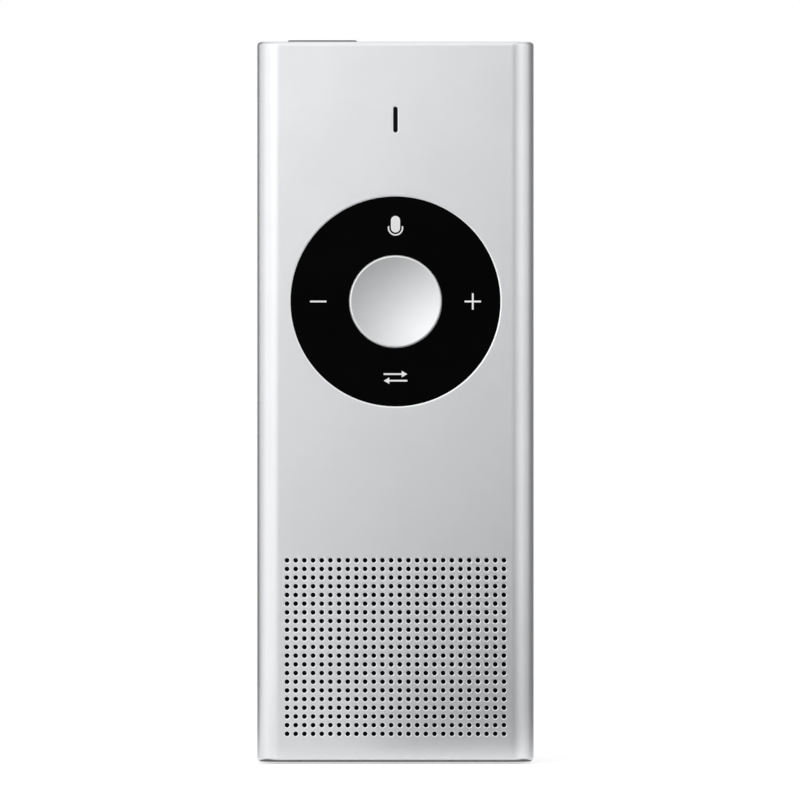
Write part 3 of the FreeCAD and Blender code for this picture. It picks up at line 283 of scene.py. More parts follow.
# Dark anodised aluminium of the power key: a graphite tone with a dull sheen.
GRAPHITE_ALUMINIUM = Finish(
    "graphite_anodised_aluminium",
    "4E4E50",
    "48484A",
    Grain.BLASTED,
    0.08,
    0.003,
    (0.36, 0.44),
    metallic=1.0,
)
# Black polycarbonate behind a matt hard coat: deep black with hardly a reflection.
BLACK_POLYCARBONATE = Finish(
    "matt_black_polycarbonate", "040404", "060606", Grain.MOULDED, 0.15, 0.001, (0.42, 0.5), specular=0.008
)
# Screen printed white ink: opaque and flat, with hardly a change of tone.
WHITE_INK = Finish(
    "white_screen_ink", "EAEAEA", "E2E2E2", Grain.SMOOTH, 0.1, 0.001, (0.5, 0.6), specular=0.2
)
# Smoke tinted acrylic light guide: near black until the lamp behind it is lit.
SMOKE_ACRYLIC = Finish(
    "smoke_acrylic", "060607", "0A0A0B", Grain.SMOOTH, 0.4, 0.0005, (0.12, 0.2), specular=0.05
)
# Black zinc plated steel screws: dark with a satin sheen and sparse rubbed specks.
BLACK_STEEL = Finish(
    "black_zinc_steel",
    "5A5A5C",
    "4C4C4E",
    Grain.BRUSHED,
    0.05,
    0.001,
    (0.3, 0.4),
    metallic=1.0,
    wear_colour="9A9A9C",
)
# Deep drawn stainless steel of the socket's shell: bright with fine drawing lines along its length.
DRAWN_STEEL = Finish(
    "drawn_stainless_steel", "C4C4C6", "B8B8BB", Grain.BRUSHED, 0.04, 0.001, (0.2, 0.3), metallic=1.0
)
# Bright ground steel of the pins and of the loudspeaker's motor.
GROUND_STEEL = Finish(
    "ground_steel", "B2B2B4", "A6A6A9", Grain.BRUSHED, 0.03, 0.0006, (0.22, 0.32), metallic=1.0
)
# Glass filled nylon of the frame, the tilting ring and the loudspeaker's box: dull with a faint mottle.
GLASS_NYLON = Finish(
    "glass_filled_nylon", "26272A", "2E2F32", Grain.MOULDED, 0.12, 0.006, (0.5, 0.62), specular=0.4
)
# Green solder mask on glass fibre board: a thin gloss over a faint weave.
SOLDER_MASK = Finish(
    "green_solder_mask", "1C4A30", "225538", Grain.WOVEN, 0.3, 0.002, (0.28, 0.38), coat=0.2
)
# Grey polyurethane foam of the pads and the gasket: open cells, no sheen.
GREY_FOAM = Finish(
    "polyurethane_foam", "3A3A3C", "444446", Grain.MOULDED, 0.35, 0.05, (0.85, 0.95), specular=0.2
)
# Laminated aluminium foil of the pouch cell: pale and satin, slightly puckered.
POUCH_FOIL = Finish(
    "pouch_foil", "B9BBBE", "ADAFB3", Grain.SMOOTH, 3.0, 0.02, (0.34, 0.44), metallic=0.8
)
# Dark red silicone skin of the battery's leads.
LEAD_SILICONE = Finish("lead_silicone", "8A1A16", "7C1512", Grain.SMOOTH, 0.3, 0.002, (0.45, 0.55))
# Black epoxy of the chips: laser marked packages, here blank, with a fine moulded grit.
CHIP_EPOXY = Finish(
    "chip_epoxy", "1A1A1C", "202022", Grain.MOULDED, 0.1, 0.003, (0.55, 0.65), specular=0.35
)
# The lamp's milky encapsulation.
LAMP_RESIN = Finish("lamp_resin", "EDE6C8", "E6DEBC", Grain.SMOOTH, 0.4, 0.001, (0.2, 0.3), coat=0.3)
# Soft black silicone of the boots, nubs and stem.
SOFT_SILICONE = Finish(
    "soft_silicone", "1E1E20", "242426", Grain.SMOOTH, 0.2, 0.002, (0.6, 0.7), specular=0.35
)
# Enamelled copper of the coil and the bare contacts.
COPPER = Finish(
    "enamelled_copper", "C27A4A", "B56C3E", Grain.BRUSHED, 0.1, 0.003, (0.25, 0.35), metallic=1.0
)
# Hard gold plate on the socket's contacts.
GOLD_PLATE = Finish(
    "gold_plate", "E2B65A", "D8AA4C", Grain.SMOOTH, 0.1, 0.0005, (0.18, 0.26), metallic=1.0
)
# Polyimide film of the flat cable: amber with a satin gloss.
POLYIMIDE = Finish("polyimide_film", "9A5A1C", "8C5018", Grain.SMOOTH, 0.6, 0.002, (0.3, 0.4), coat=0.3)
# Woven polyester dust mesh: near black threads. A real thread is 0.03 mm, drawn coarser to show.
DUST_MESH = Finish(
    "polyester_dust_mesh", "0A0A0B", "101011", Grain.WOVEN, 0.14, 0.02, (0.7, 0.8), specular=0.1
)
# Nickel plated neodymium: a hard grey shine.
NICKEL = Finish(
    "nickel_plate", "A8A5A0", "9C9994", Grain.SMOOTH, 0.2, 0.0008, (0.18, 0.28), metallic=1.0
)
# Tinned copper alloy of the shield can and the snap domes.
TINNED_SHEET = Finish(
    "tinned_sheet", "B4B4B2", "A8A8A6", Grain.BRUSHED, 0.08, 0.001, (0.3, 0.4), metallic=1.0
)
# Laminated paper cone with a thin lacquer: warm black, faintly mottled.
CONE_PAPER = Finish(
    "lacquered_paper", "222020", "2A2826", Grain.MOULDED, 0.3, 0.01, (0.5, 0.6), specular=0.3
)
# Thermoplastic tongue of the socket, moulded with a fine flow.
TONGUE_NYLON = Finish(
    "socket_nylon", "18181A", "1E1E20", Grain.MOULDED, 0.1, 0.002, (0.4, 0.5), specular=0.4
)


# Mesh helpers


def once(items: Iterable) -> list:
    """Returns each item once, in the order first met."""
    return list(dict.fromkeys(items))


@dataclass(frozen=True)
class Opening:
    """A round or pill-shaped outline that steps down from a plate's front.

    Steps are pairs of depth and radius, the mouth first. The run is half the length of the
    centre line, which is level unless upright.
    """

    x: float
    z: float
    steps: tuple[tuple[float, float], ...]
    run: float = 0.0
    upright: bool = False
    segments: int = 16

    def draw(self, bm: bmesh.types.BMesh, front: float) -> list[bmesh.types.BMVert]:
        """Draws the mouth in a front face.

        Args:
            bm: The mesh to draw in.
            front: The front face's Y.

        Returns:
            The mouth's vertices.
        """
        half_step = math.pi / self.segments
        turned = Matrix.Rotation(math.pi / 2, 4, "X") @ Matrix.Rotation(half_step, 4, "Z")
        radius = self.steps[0][1] / math.cos(half_step)
        place = Matrix.Translation((self.x, front, self.z)) @ turned
        made = bmesh.ops.create_circle(bm, segments=self.segments, radius=radius, matrix=place)
        for vert in made["verts"]:
            if self.upright:
                vert.co.z += math.copysign(self.run, vert.co.z - self.z)
            else:
                vert.co.x += math.copysign(self.run, vert.co.x - self.x)
        return made["verts"]

    def settle(self, vert: bmesh.types.BMVert, radius: float, y: float) -> None:
        """Moves a vertex out from the centre line to a radius and a depth.

        Args:
            vert: The vertex to move.
            radius: Its new distance from the centre line.
            y: Its new Y.
        """
        core = Vector((self.x, vert.co.y, self.z))
        if self.upright:
            core.z += math.copysign(self.run, vert.co.z - self.z)
        else:
            core.x += math.copysign(self.run, vert.co.x - self.x)
        out = (vert.co - core).normalized() * radius / math.cos(math.pi / self.segments)
        vert.co = core + out
        vert.co.y = y


@dataclass
class Drilling:
    """Openings cut through a wall, from the mouths in its front to the last steps at its back."""

    bm: bmesh.types.BMesh
    front: float
    openings: list[Opening]
    mark: bmesh.types.BMLayerItem = field(init=False)

    def number(self, vert: bmesh.types.BMVert) -> int:
        """Returns which opening a vertex belongs to, or -1 for none."""
        return vert[self.mark] - 1

    def mouths(self) -> list[bmesh.types.BMEdge]:
        """Draws every mouth.

        Returns:
            The edges of every mouth.
        """
        self.mark = self.bm.verts.layers.int.new("opening")
        edges = []
        for number, opening in enumerate(self.openings):
            verts = opening.draw(self.bm, self.front)
            for vert in verts:
                vert[self.mark] = number + 1
            edges += once(edge for vert in verts for edge in vert.link_edges)
        return edges

    def sink(self, edges: list[bmesh.types.BMEdge]) -> dict[tuple, list[bmesh.types.BMEdge]]:
        """Extrudes the mouths through their steps.

        Args:
            edges: The edges of every mouth.

        Returns:
            The last edges of each set of steps.
        """
        ends = {}
        for steps in once(opening.steps for opening in self.openings):
            ring = [edge for edge in edges if self.openings[self.number(edge.verts[0])].steps == steps]
            for depth, radius in steps[1:]:
                made = bmesh.ops.extrude_edge_only(self.bm, edges=ring)["geom"]
                verts = {item for item in made if isinstance(item, bmesh.types.BMVert)}
                for vert in verts:
                    self.openings[self.number(vert)].settle(vert, radius, self.front + depth)
                rows = [item for item in made if isinstance(item, bmesh.types.BMEdge)]
                ring = [edge for edge in rows if verts.issuperset(edge.verts)]
            ends[steps] = ring
        return ends


def fill(bm: bmesh.types.BMesh, edges: list[bmesh.types.BMEdge], y: float) -> None:
    """Fills a flat face between outlines.

    The outlines are turned aside while they are filled, because the fill misses faces where rows
    of vertices share a height.

    Args:
        bm: The mesh to fill.
        edges: The edges of every outline.
        y: The way that the face looks along Y, 1 or -1.
    """
    verts = once(vert for edge in edges for vert in edge.verts)
    aside = Matrix.Rotation(FILL_TURN, 4, "Y")
    bmesh.ops.transform(bm, matrix=aside, verts=verts)
    bmesh.ops.triangle_fill(bm, use_beauty=True, use_dissolve=False, edges=edges, normal=(0, y, 0))
    bmesh.ops.transform(bm, matrix=aside.inverted(), verts=verts)


def drilled_plate(openings: list[Opening], way: Way, shift: float) -> bmesh.types.BMesh:
    """Makes a plate with holes right through, the first opening being its outline.

    Args:
        openings: The outline, then the holes, every one with its steps down to the back.
        way: Where the front face looks.
        shift: The front face's height.

    Returns:
        The plate, in millimetres.
    """
    bm = bmesh.new()
    drilling = Drilling(bm, 0.0, openings)
    edges = drilling.mouths()
    fill(bm, edges, -1.0)
    ends = drilling.sink(edges)
    fill(bm, [edge for ring in ends.values() for edge in ring], 1.0)
    stand(bm, way, shift)
    return bm


def stand(bm: bmesh.types.BMesh, way: Way, shift: float) -> None:
    """Turns a plate that faces the front to face up or down, at a height.

    Args:
        bm: The plate.
        way: The way that it is to face.
        shift: The height that its face comes to.
    """
    place = Matrix.Translation((0, 0, shift)) @ Matrix.Rotation(math.radians(way.value), 4, "X")
    bmesh.ops.transform(bm, matrix=place, verts=bm.verts)


def lathe(profile: list[tuple[float, float]], z: float, steps: int, closed: bool) -> bmesh.types.BMesh:
    """Spins a profile about a level axis that runs front to back.

    Args:
        profile: Pairs of radius and Y.
        z: The axis's height.
        steps: How many facets go round.
        closed: Whether the profile's last point joins its first.

    Returns:
        The turned shape, in millimetres.
    """
    bm = bmesh.new()
    verts = [bm.verts.new((radius, y, z)) for radius, y in profile]
    edges = [bm.edges.new(pair) for pair in zip(verts, verts[1:])]
    if closed:
        edges.append(bm.edges.new((verts[-1], verts[0])))
    bmesh.ops.spin(
        bm,
        geom=verts + edges,
        cent=(0, 0, z),
        axis=(0, 1, 0),
        angle=2 * math.pi,
        steps=steps,
        use_merge=True,
    )
    return bm


def finish_mesh(
    bm: bmesh.types.BMesh,
    name: str,
    body: str,
    finishes: list[Finish],
    replaces: tuple[str, ...],
) -> bpy.types.Object:
    """Turns a mesh in millimetres into a finished piece in metres.

    Args:
        bm: The mesh, which is freed.
        name: The piece's name.
        body: The moving body that it rides on.
        finishes: The finish of each material index.
        replaces: The nodes that it stands for.

    Returns:
        The piece.
    """
    bmesh.ops.remove_doubles(bm, verts=bm.verts, dist=WELD)
    gaps = [edge for edge in bm.edges if edge.is_boundary]
    bmesh.ops.holes_fill(bm, edges=gaps, sides=LARGEST_GAP)
    bmesh.ops.recalc_face_normals(bm, faces=bm.faces)
    for face in bm.faces:
        face.smooth = True
    # An edge between two finishes stays sharp, so that a chamfer doesn't shade the flat beside it.
    for edge in bm.edges:
        one_finish = len({face.material_index for face in edge.link_faces}) == 1
        edge.smooth = one_finish and len(edge.link_faces) == 2 and edge.calc_face_angle(0.0) < SHARP
    open_edges = sum(1 for edge in bm.edges if len(edge.link_faces) != 2)
    bmesh.ops.scale(bm, vec=(MM, MM, MM), verts=bm.verts)
    mesh = bpy.data.meshes.new(name)
    bm.to_mesh(mesh)
    bm.free()
    for finish in finishes:
        mesh.materials.append(finish.material())
    piece = bpy.data.objects.new(name, mesh)
    bpy.context.scene.collection.objects.link(piece)
    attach(piece, body)
    if replaces:
        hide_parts(*replaces)
    log.info("%s: %d faces, %d open edges", name, len(mesh.polygons), open_edges)
    return piece


def dress(node: str, finish: Finish) -> None:
    """Gives a carried-over node its finish.

    Args:
        node: The node's name.
        finish: What its surface is.
    """
    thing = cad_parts[node]
    if not thing.material_slots:
        thing.data.materials.append(finish.material())
    for place in thing.material_slots:
        place.material = finish.material()
    log.info("%s: %s", node, finish.name)


# Sub-assemblies


@dataclass
class Sleeve:
    """The extruded housing with its rounded rims, key opening, status slot and speaker grille.

    The key opening and the slot are the openings that come before the speaker holes.
    """

    length: float = BODY_LENGTH
    run: float = BODY_RUN
    radius: float = 3.95
    wall: float = 0.9
    rim: float = 0.7
    rim_steps: int = 8
    facets: int = 96
    support: float = 0.15
    panel_area: float = 1000.0
    key_z: float = KEYS_Z
    key_radius: float = 19.1
    key_chamfer: float = 0.23
    key_cut: float = 0.065
    key_facets: int = 128
    slot_z: float = 116.8
    slot_run: float = 1.95
    slot_radius: float = 0.425
    slot_facets: int = 24
    hole_radius: float = 0.435
    hole_chamfer: float = 0.12
    hole_cut: float = 0.035
    hole_facets: int = 16
    hole_pitch: float = 1.577
    hole_columns: int = 26
    hole_rows: int = 21
    hole_bottom: float = 5.13
    before_holes: int = 2

    def chamfered(
        self, radius: float, chamfer: float, cut: float
    ) -> tuple[tuple[float, float], ...]:
        """Returns the depths and radii of a chamfered opening through the wall."""
        return (0.0, radius + chamfer), (cut, radius), (self.wall, radius)

    def openings(self) -> list[Opening]:
        """Lists what is cut through the front.

        Returns:
            The key opening, the slot and every speaker hole.
        """
        ring = self.chamfered(self.key_radius, self.key_chamfer, self.key_cut)
        slot = self.chamfered(self.slot_radius, self.hole_chamfer, self.hole_cut)
        hole = self.chamfered(self.hole_radius, self.hole_chamfer, self.hole_cut)
        made = [
            Opening(0.0, self.key_z, ring, segments=self.key_facets),
            Opening(0.0, self.slot_z, slot, self.slot_run, True, self.slot_facets),
        ]
        left = -(self.hole_columns - 1) / 2 * self.hole_pitch
        for row in range(self.hole_rows):
            z = self.hole_bottom + row * self.hole_pitch
            for column in range(self.hole_columns):
                x = left + column * self.hole_pitch
                made.append(Opening(x, z, hole, segments=self.hole_facets))
        return made

    def tube(self, bm: bmesh.types.BMesh, radius: float) -> list[list[bmesh.types.BMEdge]]:
        """Extrudes one pill-shaped skin along the length.

        Args:
            bm: The mesh to add to.
            radius: The radius of its round sides.

        Returns:
            The edges of its bottom and of its top.
        """
        half_step = math.pi / self.facets
        turned = Matrix.Rotation(half_step, 4, "Z")
        reach = radius / math.cos(half_step)
        made = bmesh.ops.create_circle(bm, segments=self.facets, radius=reach, matrix=turned)
        for vert in made["verts"]:
            vert.co.x += math.copysign(self.run, vert.co.x)
        bottom = once(edge for vert in made["verts"] for edge in vert.link_edges)
        raised = bmesh.ops.extrude_edge_only(bm, edges=bottom)["geom"]
        verts = {item for item in raised if isinstance(item, bmesh.types.BMVert)}
        bmesh.ops.translate(bm, vec=(0, 0, self.length), verts=list(verts))
        edges = [item for item in raised if isinstance(item, bmesh.types.BMEdge)]
        return [bottom, [edge for edge in edges if verts.issuperset(edge.verts)]]

    def close_end(
        self, bm: bmesh.types.BMesh, out: list[bmesh.types.BMEdge], within: list[bmesh.types.BMEdge]
    ) -> None:
        """Joins the outer and the inner skin at one end.

        Args:
            bm: The mesh to add to.
            out: The outer skin's edges at that end.
            within: The inner skin's edges there, as many.
        """
        rings = []
        for edges in (out, within):
            verts = {vert for edge in edges for vert in edge.verts}
            rings.append(sorted(verts, key=lambda vert: math.atan2(vert.co.y, vert.co.x)))
        pairs = list(zip(*rings))
        for here, after in zip(pairs, pairs[1:] + pairs[:1]):
            bm.faces.new((*here, *reversed(after)))

    def panel(self, bm: bmesh.types.BMesh, y: float) -> list[bmesh.types.BMEdge]:
        """Takes out the flat middle face of a skin's front.

        Args:
            bm: The mesh to cut.
            y: The skin's front.

        Returns:
            The edges left round the gap.
        """
        faces = [face for face in bm.faces if self.is_panel(face, y)]
        edges = once(edge for face in faces for edge in face.edges)
        bmesh.ops.delete(bm, geom=faces, context="FACES_ONLY")
        return [edge for edge in edges if len(edge.link_faces) == 1]

    def squares(
        self, drilling: Drilling, edges: list[bmesh.types.BMEdge], y: float
    ) -> list[bmesh.types.BMEdge]:
        """Lays a square of faces round every speaker hole.

        Args:
            drilling: The openings, the key opening and the slot first.
            edges: The edges of every opening in one flat face.
            y: The flat face's Y.

        Returns:
            The edges round the squares and round the key opening and the slot.
        """
        bm, corners, rings = drilling.bm, {}, {}
        for column in range(self.hole_columns + 1):
            for row in range(self.hole_rows + 1):
                x = (column - self.hole_columns / 2) * self.hole_pitch
                z = self.hole_bottom + (row - 0.5) * self.hole_pitch
                corners[column, row] = bm.verts.new((x, y, z))
        for vert in once(vert for edge in edges for vert in edge.verts):
            rings.setdefault(drilling.number(vert), []).append(vert)
        for place, hole in enumerate(drilling.openings[self.before_holes :]):
            row, column = divmod(place, self.hole_columns)
            ring = rings[place + self.before_holes]
            ring.sort(key=lambda vert: math.atan2(vert.co.z - hole.z, vert.co.x - hole.x))
            steps = ((0, 0), (1, 0), (1, 1), (0, 1))
            square = [corners[column + right, row + up] for right, up in steps]
            self.surround(bm, ring, square)
        outline = once(edge for corner in corners.values() for edge in corner.link_edges)
        around = [edge for edge in outline if edge.is_boundary]
        return around + [edge for edge in edges if drilling.number(edge.verts[0]) < self.before_holes]

    def surround(
        self, bm: bmesh.types.BMesh, ring: list[bmesh.types.BMVert], square: list[bmesh.types.BMVert]
    ) -> None:
        """Joins a hole to the square round it, each corner to the nearest quarter of the hole.

        Args:
            bm: The mesh to add to.
            ring: The hole's vertices, going round from the first corner's quarter.
            square: The corners, going round the same way.
        """
        quarter = len(ring) // len(square)
        for side, corner in enumerate(square):
            arc = ring[quarter * side : quarter * (side + 1)]
            for pair in zip(arc, arc[1:]):
                bm.faces.new((corner, *pair))
            past = ring[quarter * (side + 1) % len(ring)]
            bm.faces.new((corner, arc[-1], past, square[(side + 1) % len(square)]))

    def is_panel(self, face: bmesh.types.BMFace, y: float) -> bool:
        """Returns whether a face is the flat middle of the skin at y."""
        return abs(face.calc_center_median().y - y) < WELD and face.calc_area() > self.panel_area

    def build(self) -> None:
        """Builds and dresses the sleeve."""
        bm = bmesh.new()
        outer, inner = self.tube(bm, self.radius), self.tube(bm, self.radius - self.wall)
        for out, within in zip(outer, inner):
            self.close_end(bm, out, within)
        bmesh.ops.recalc_face_normals(bm, faces=bm.faces)
        bmesh.ops.bevel(
            bm,
            geom=outer[0] + outer[1],
            offset=self.rim,
            offset_type="OFFSET",
            segments=self.rim_steps,
            profile=0.5,
            affect="EDGES",
            material=-1,
        )
        inset = self.rim + self.support
        cuts = [(0, 0, inset), (0, 0, self.length - inset), (self.run - self.support, 0, 0)]
        cuts.append((self.support - self.run, 0, 0))
        for at in cuts:
            facing = (1, 0, 0) if at[0] else (0, 0, 1)
            everything = bm.verts[:] + bm.edges[:] + bm.faces[:]
            bmesh.ops.bisect_plane(bm, geom=everything, dist=1e-5, plane_co=at, plane_no=facing)
        front = -self.radius
        drilling = Drilling(bm, front, self.openings())
        front_edges = self.panel(bm, front)
        mouths = drilling.mouths()
        fill(bm, front_edges + self.squares(drilling, mouths, front), -1.0)
        ends = [edge for ring in drilling.sink(mouths).values() for edge in ring]
        back_edges = self.panel(bm, front + self.wall)
        fill(bm, back_edges + self.squares(drilling, ends, front + self.wall), 1.0)
        bevel_faces(bm, front, {self.key_cut, self.hole_cut})
        finishes = [BLASTED_ALUMINIUM, CUT_ALUMINIUM]
        finish_mesh(bm, "sleeve", "housing", finishes, ("housing_sleeve",))


def bevel_faces(bm: bmesh.types.BMesh, front: float, depths: set[float]) -> None:
    """Gives the chamfers just under a front face the second finish.

    Args:
        bm: The mesh whose faces are marked.
        front: The front face's Y.
        depths: How deep the chamfers go.
    """
    for face in bm.faces:
        low = min(vert.co.y for vert in face.verts)
        high = max(vert.co.y for vert in face.verts)
        if abs(low - front) < WELD and any(abs(high - front - depth) < WELD for depth in depths):
            face.material_index = 1


@dataclass
class EndCaps:
    """The two plates that close the sleeve, with their screws, sound holes and openings."""

    length: float = BODY_LENGTH
    thick: float = 2.0
    run: float = BODY_RUN
    radius: float = 3.0
    edge: float = 0.12
    screw_x: float = 21.954
    head_radius: float = 1.2
    head_depth: float = 1.05
    shank_radius: float = 0.7
    key_x: float = -13.3
    key_run: float = 5.1
    key_radius: float = 1.32
    socket_run: float = SOCKET_RUN
    socket_radius: float = 1.73
    sound_radius: float = 0.45
    sound_top: tuple[float, float] = (8.003, -1.2)
    sound_bottom: tuple[float, float] = (11.5, 1.13)
    lip: float = 0.06
    rim_facets: int = 64
    head_facets: int = 32
    slot_facets: int = 48
    sound_facets: int = 24

    def plain(self, x: float, z: float, radius: float, facets: int, run: float = 0.0) -> Opening:
        """Returns a hole right through with a lightly broken edge."""
        steps = ((0.0, radius + self.lip), (self.lip, radius), (self.thick, radius))
        return Opening(x, z, steps, run, False, facets)

    def outline(self) -> list[Opening]:
        """Lists what both caps have.

        Returns:
            The plate's outline and its two stepped screw holes.
        """
        rim = ((0.0, self.radius - self.edge), (self.edge, self.radius), (self.thick, self.radius))
        head = ((0.0, self.head_radius + self.lip), (self.lip, self.head_radius))
        floor = ((self.head_depth, self.head_radius), (self.head_depth, self.shank_radius))
        bore = head + floor + ((self.thick, self.shank_radius),)
        screws = [
            Opening(side * self.screw_x, 0.0, bore, segments=self.head_facets) for side in (-1, 1)
        ]
        return [Opening(0.0, 0.0, rim, self.run, False, self.rim_facets), *screws]

    def build(self) -> None:
        """Builds and dresses both caps and dresses their screws."""
        sound_x, sound_y = self.sound_top
        top = self.outline() + [
            self.plain(self.key_x, 0.0, self.key_radius, self.slot_facets, self.key_run),
            self.plain(sound_x, sound_y, self.sound_radius, self.sound_facets),
        ]
        sound_x, sound_y = self.sound_bottom
        bottom = self.outline() + [
            self.plain(0.0, 0.0, self.socket_radius, self.slot_facets, self.socket_run),
            self.plain(sound_x, -sound_y, self.sound_radius, self.sound_facets),
        ]
        caps = (
            ("cap_top", "top_cap", top, Way.UP, self.length),
            ("cap_bottom", "bottom_cap", bottom, Way.DOWN, 0.0),
        )
        for name, node, openings, way, at in caps:
            bm = drilled_plate(openings, way, at)
            finish_mesh(bm, name, "housing", [BLASTED_ALUMINIUM], (node,))
        dress("cap_screws", BLACK_STEEL)


@dataclass
class KeyRing:
    """The black rocking ring with its printed symbols, and what carries it."""

    z: float = KEYS_Z
    bore: float = 8.45
    radius: float = 19.0
    face: float = KEYS_FACE
    back: float = -2.8
    hub_inner: float = 9.1
    hub_outer: float = 10.4
    hub_back: float = -1.1
    edge: float = 0.08
    facets: int = 128
    capsule_z: float = 97.78
    capsule_run: float = 0.67
    capsule_radius: float = 0.83
    capsule_colour: str = "DFDFDF"
    line: float = 0.2

    def build(self) -> None:
        """Builds and dresses the ring and dresses its nodes."""
        profile = [
            (self.bore, self.back),
            (self.bore, self.face + self.edge),
            (self.bore + self.edge, self.face),
            (self.radius - self.edge, self.face),
            (self.radius, self.face + self.edge),
            (self.radius, self.back),
            (self.hub_outer, self.back),
            (self.hub_outer, self.hub_back),
            (self.hub_inner, self.hub_back),
            (self.hub_inner, self.back),
        ]
        bm = lathe(profile, self.z, self.facets, True)
        finish_mesh(bm, "key_ring", "key", [BLACK_POLYCARBONATE], ("ring_key",))
        dress("ring_symbols", WHITE_INK)
        self.shade_capsule(WHITE_INK.material())
        dress("ring_nubs", SOFT_SILICONE)
        dress("ring_domes", TINNED_SHEET)
        dress("tilt_ring", GLASS_NYLON)
        dress("upright_pins", GROUND_STEEL)
        dress("cross_pins", GROUND_STEEL)

    def shade_capsule(self, ink: bpy.types.Material) -> None:
        """Prints the inside of the microphone's capsule in a screen of its own, greyer than its outline.

        Args:
            ink: The ink's material, which gets the change.
        """
        tree = ink.node_tree
        shader = next(node for node in tree.nodes if node.type == "BSDF_PRINCIPLED")
        colour = shader.inputs["Base Color"].links[0].from_socket
        place = add_node(tree, "TexCoord").outputs["Object"]
        axes = add_node(tree, "SeparateXYZ", {0: place}).outputs
        above = {0: axes["Z"], 1: self.capsule_z * MM}
        rise = add_node(tree, "Math", above, operation="SUBTRACT").outputs[0]
        steep = add_node(tree, "Math", {0: rise}, operation="ABSOLUTE").outputs[0]
        beyond = {0: steep, 1: self.capsule_run * MM}
        past = add_node(tree, "Math", beyond, operation="SUBTRACT").outputs[0]
        ends = add_node(tree, "Math", {0: past, 1: 0.0}, operation="MAXIMUM").outputs[0]
        spot = add_node(tree, "CombineXYZ", {"X": axes["X"], "Z": ends}).outputs[0]
        reach = add_node(tree, "VectorMath", {0: spot}, operation="LENGTH").outputs["Value"]
        within = (self.capsule_radius - self.line) * MM
        inside = add_node(tree, "Math", {0: reach, 1: within}, operation="LESS_THAN").outputs[0]
        tinted = mixed(tree, inside, colour, to_linear(self.capsule_colour))
        tree.links.new(tinted, shader.inputs["Base Color"])


@dataclass
class CentreButton:
    """The dished aluminium button with its bright cut edge and the flange below."""

    z: float = KEYS_Z
    radius: float = 8.3
    face: float = KEYS_FACE
    chamfer: float = 0.22
    edge: float = 0.03
    edge_fall: float = 0.09
    dish: float = 0.34
    dish_steps: int = 14
    flange_front: float = -2.55
    flange_back: float = -2.05
    flange_radius: float = 8.75
    facets: int = 128

    def build(self) -> None:
        """Builds and dresses the button and dresses its stem."""
        mouth = self.radius - self.chamfer
        ball = (mouth**2 + self.dish**2) / (2 * self.dish)
        profile = []
        for step in range(self.dish_steps + 1):
            reach = mouth * step / self.dish_steps
            profile.append((reach, self.face + self.dish - ball + math.sqrt(ball**2 - reach**2)))
        profile += [
            (self.radius - self.edge, self.face + self.edge),
            (self.radius, self.face + self.edge_fall),
            (self.radius, self.flange_front),
            (self.flange_radius, self.flange_front),
            (self.flange_radius, self.flange_back),
            (0.0, self.flange_back),
        ]
        bm = lathe(profile, self.z, self.facets, False)
        for face in bm.faces:
            middle = face.calc_center_median()
            reach = math.hypot(middle.x, middle.z - self.z)
            if reach > mouth and middle.y < self.face + self.chamfer:
                face.material_index = 1
        finishes = [DISH_ALUMINIUM, CUT_ALUMINIUM]
        finish_mesh(bm, "centre_button_turned", "centre", finishes, ("centre_button",))
        dress("centre_stem", SOFT_SILICONE)
        dress("centre_dome", TINNED_SHEET)


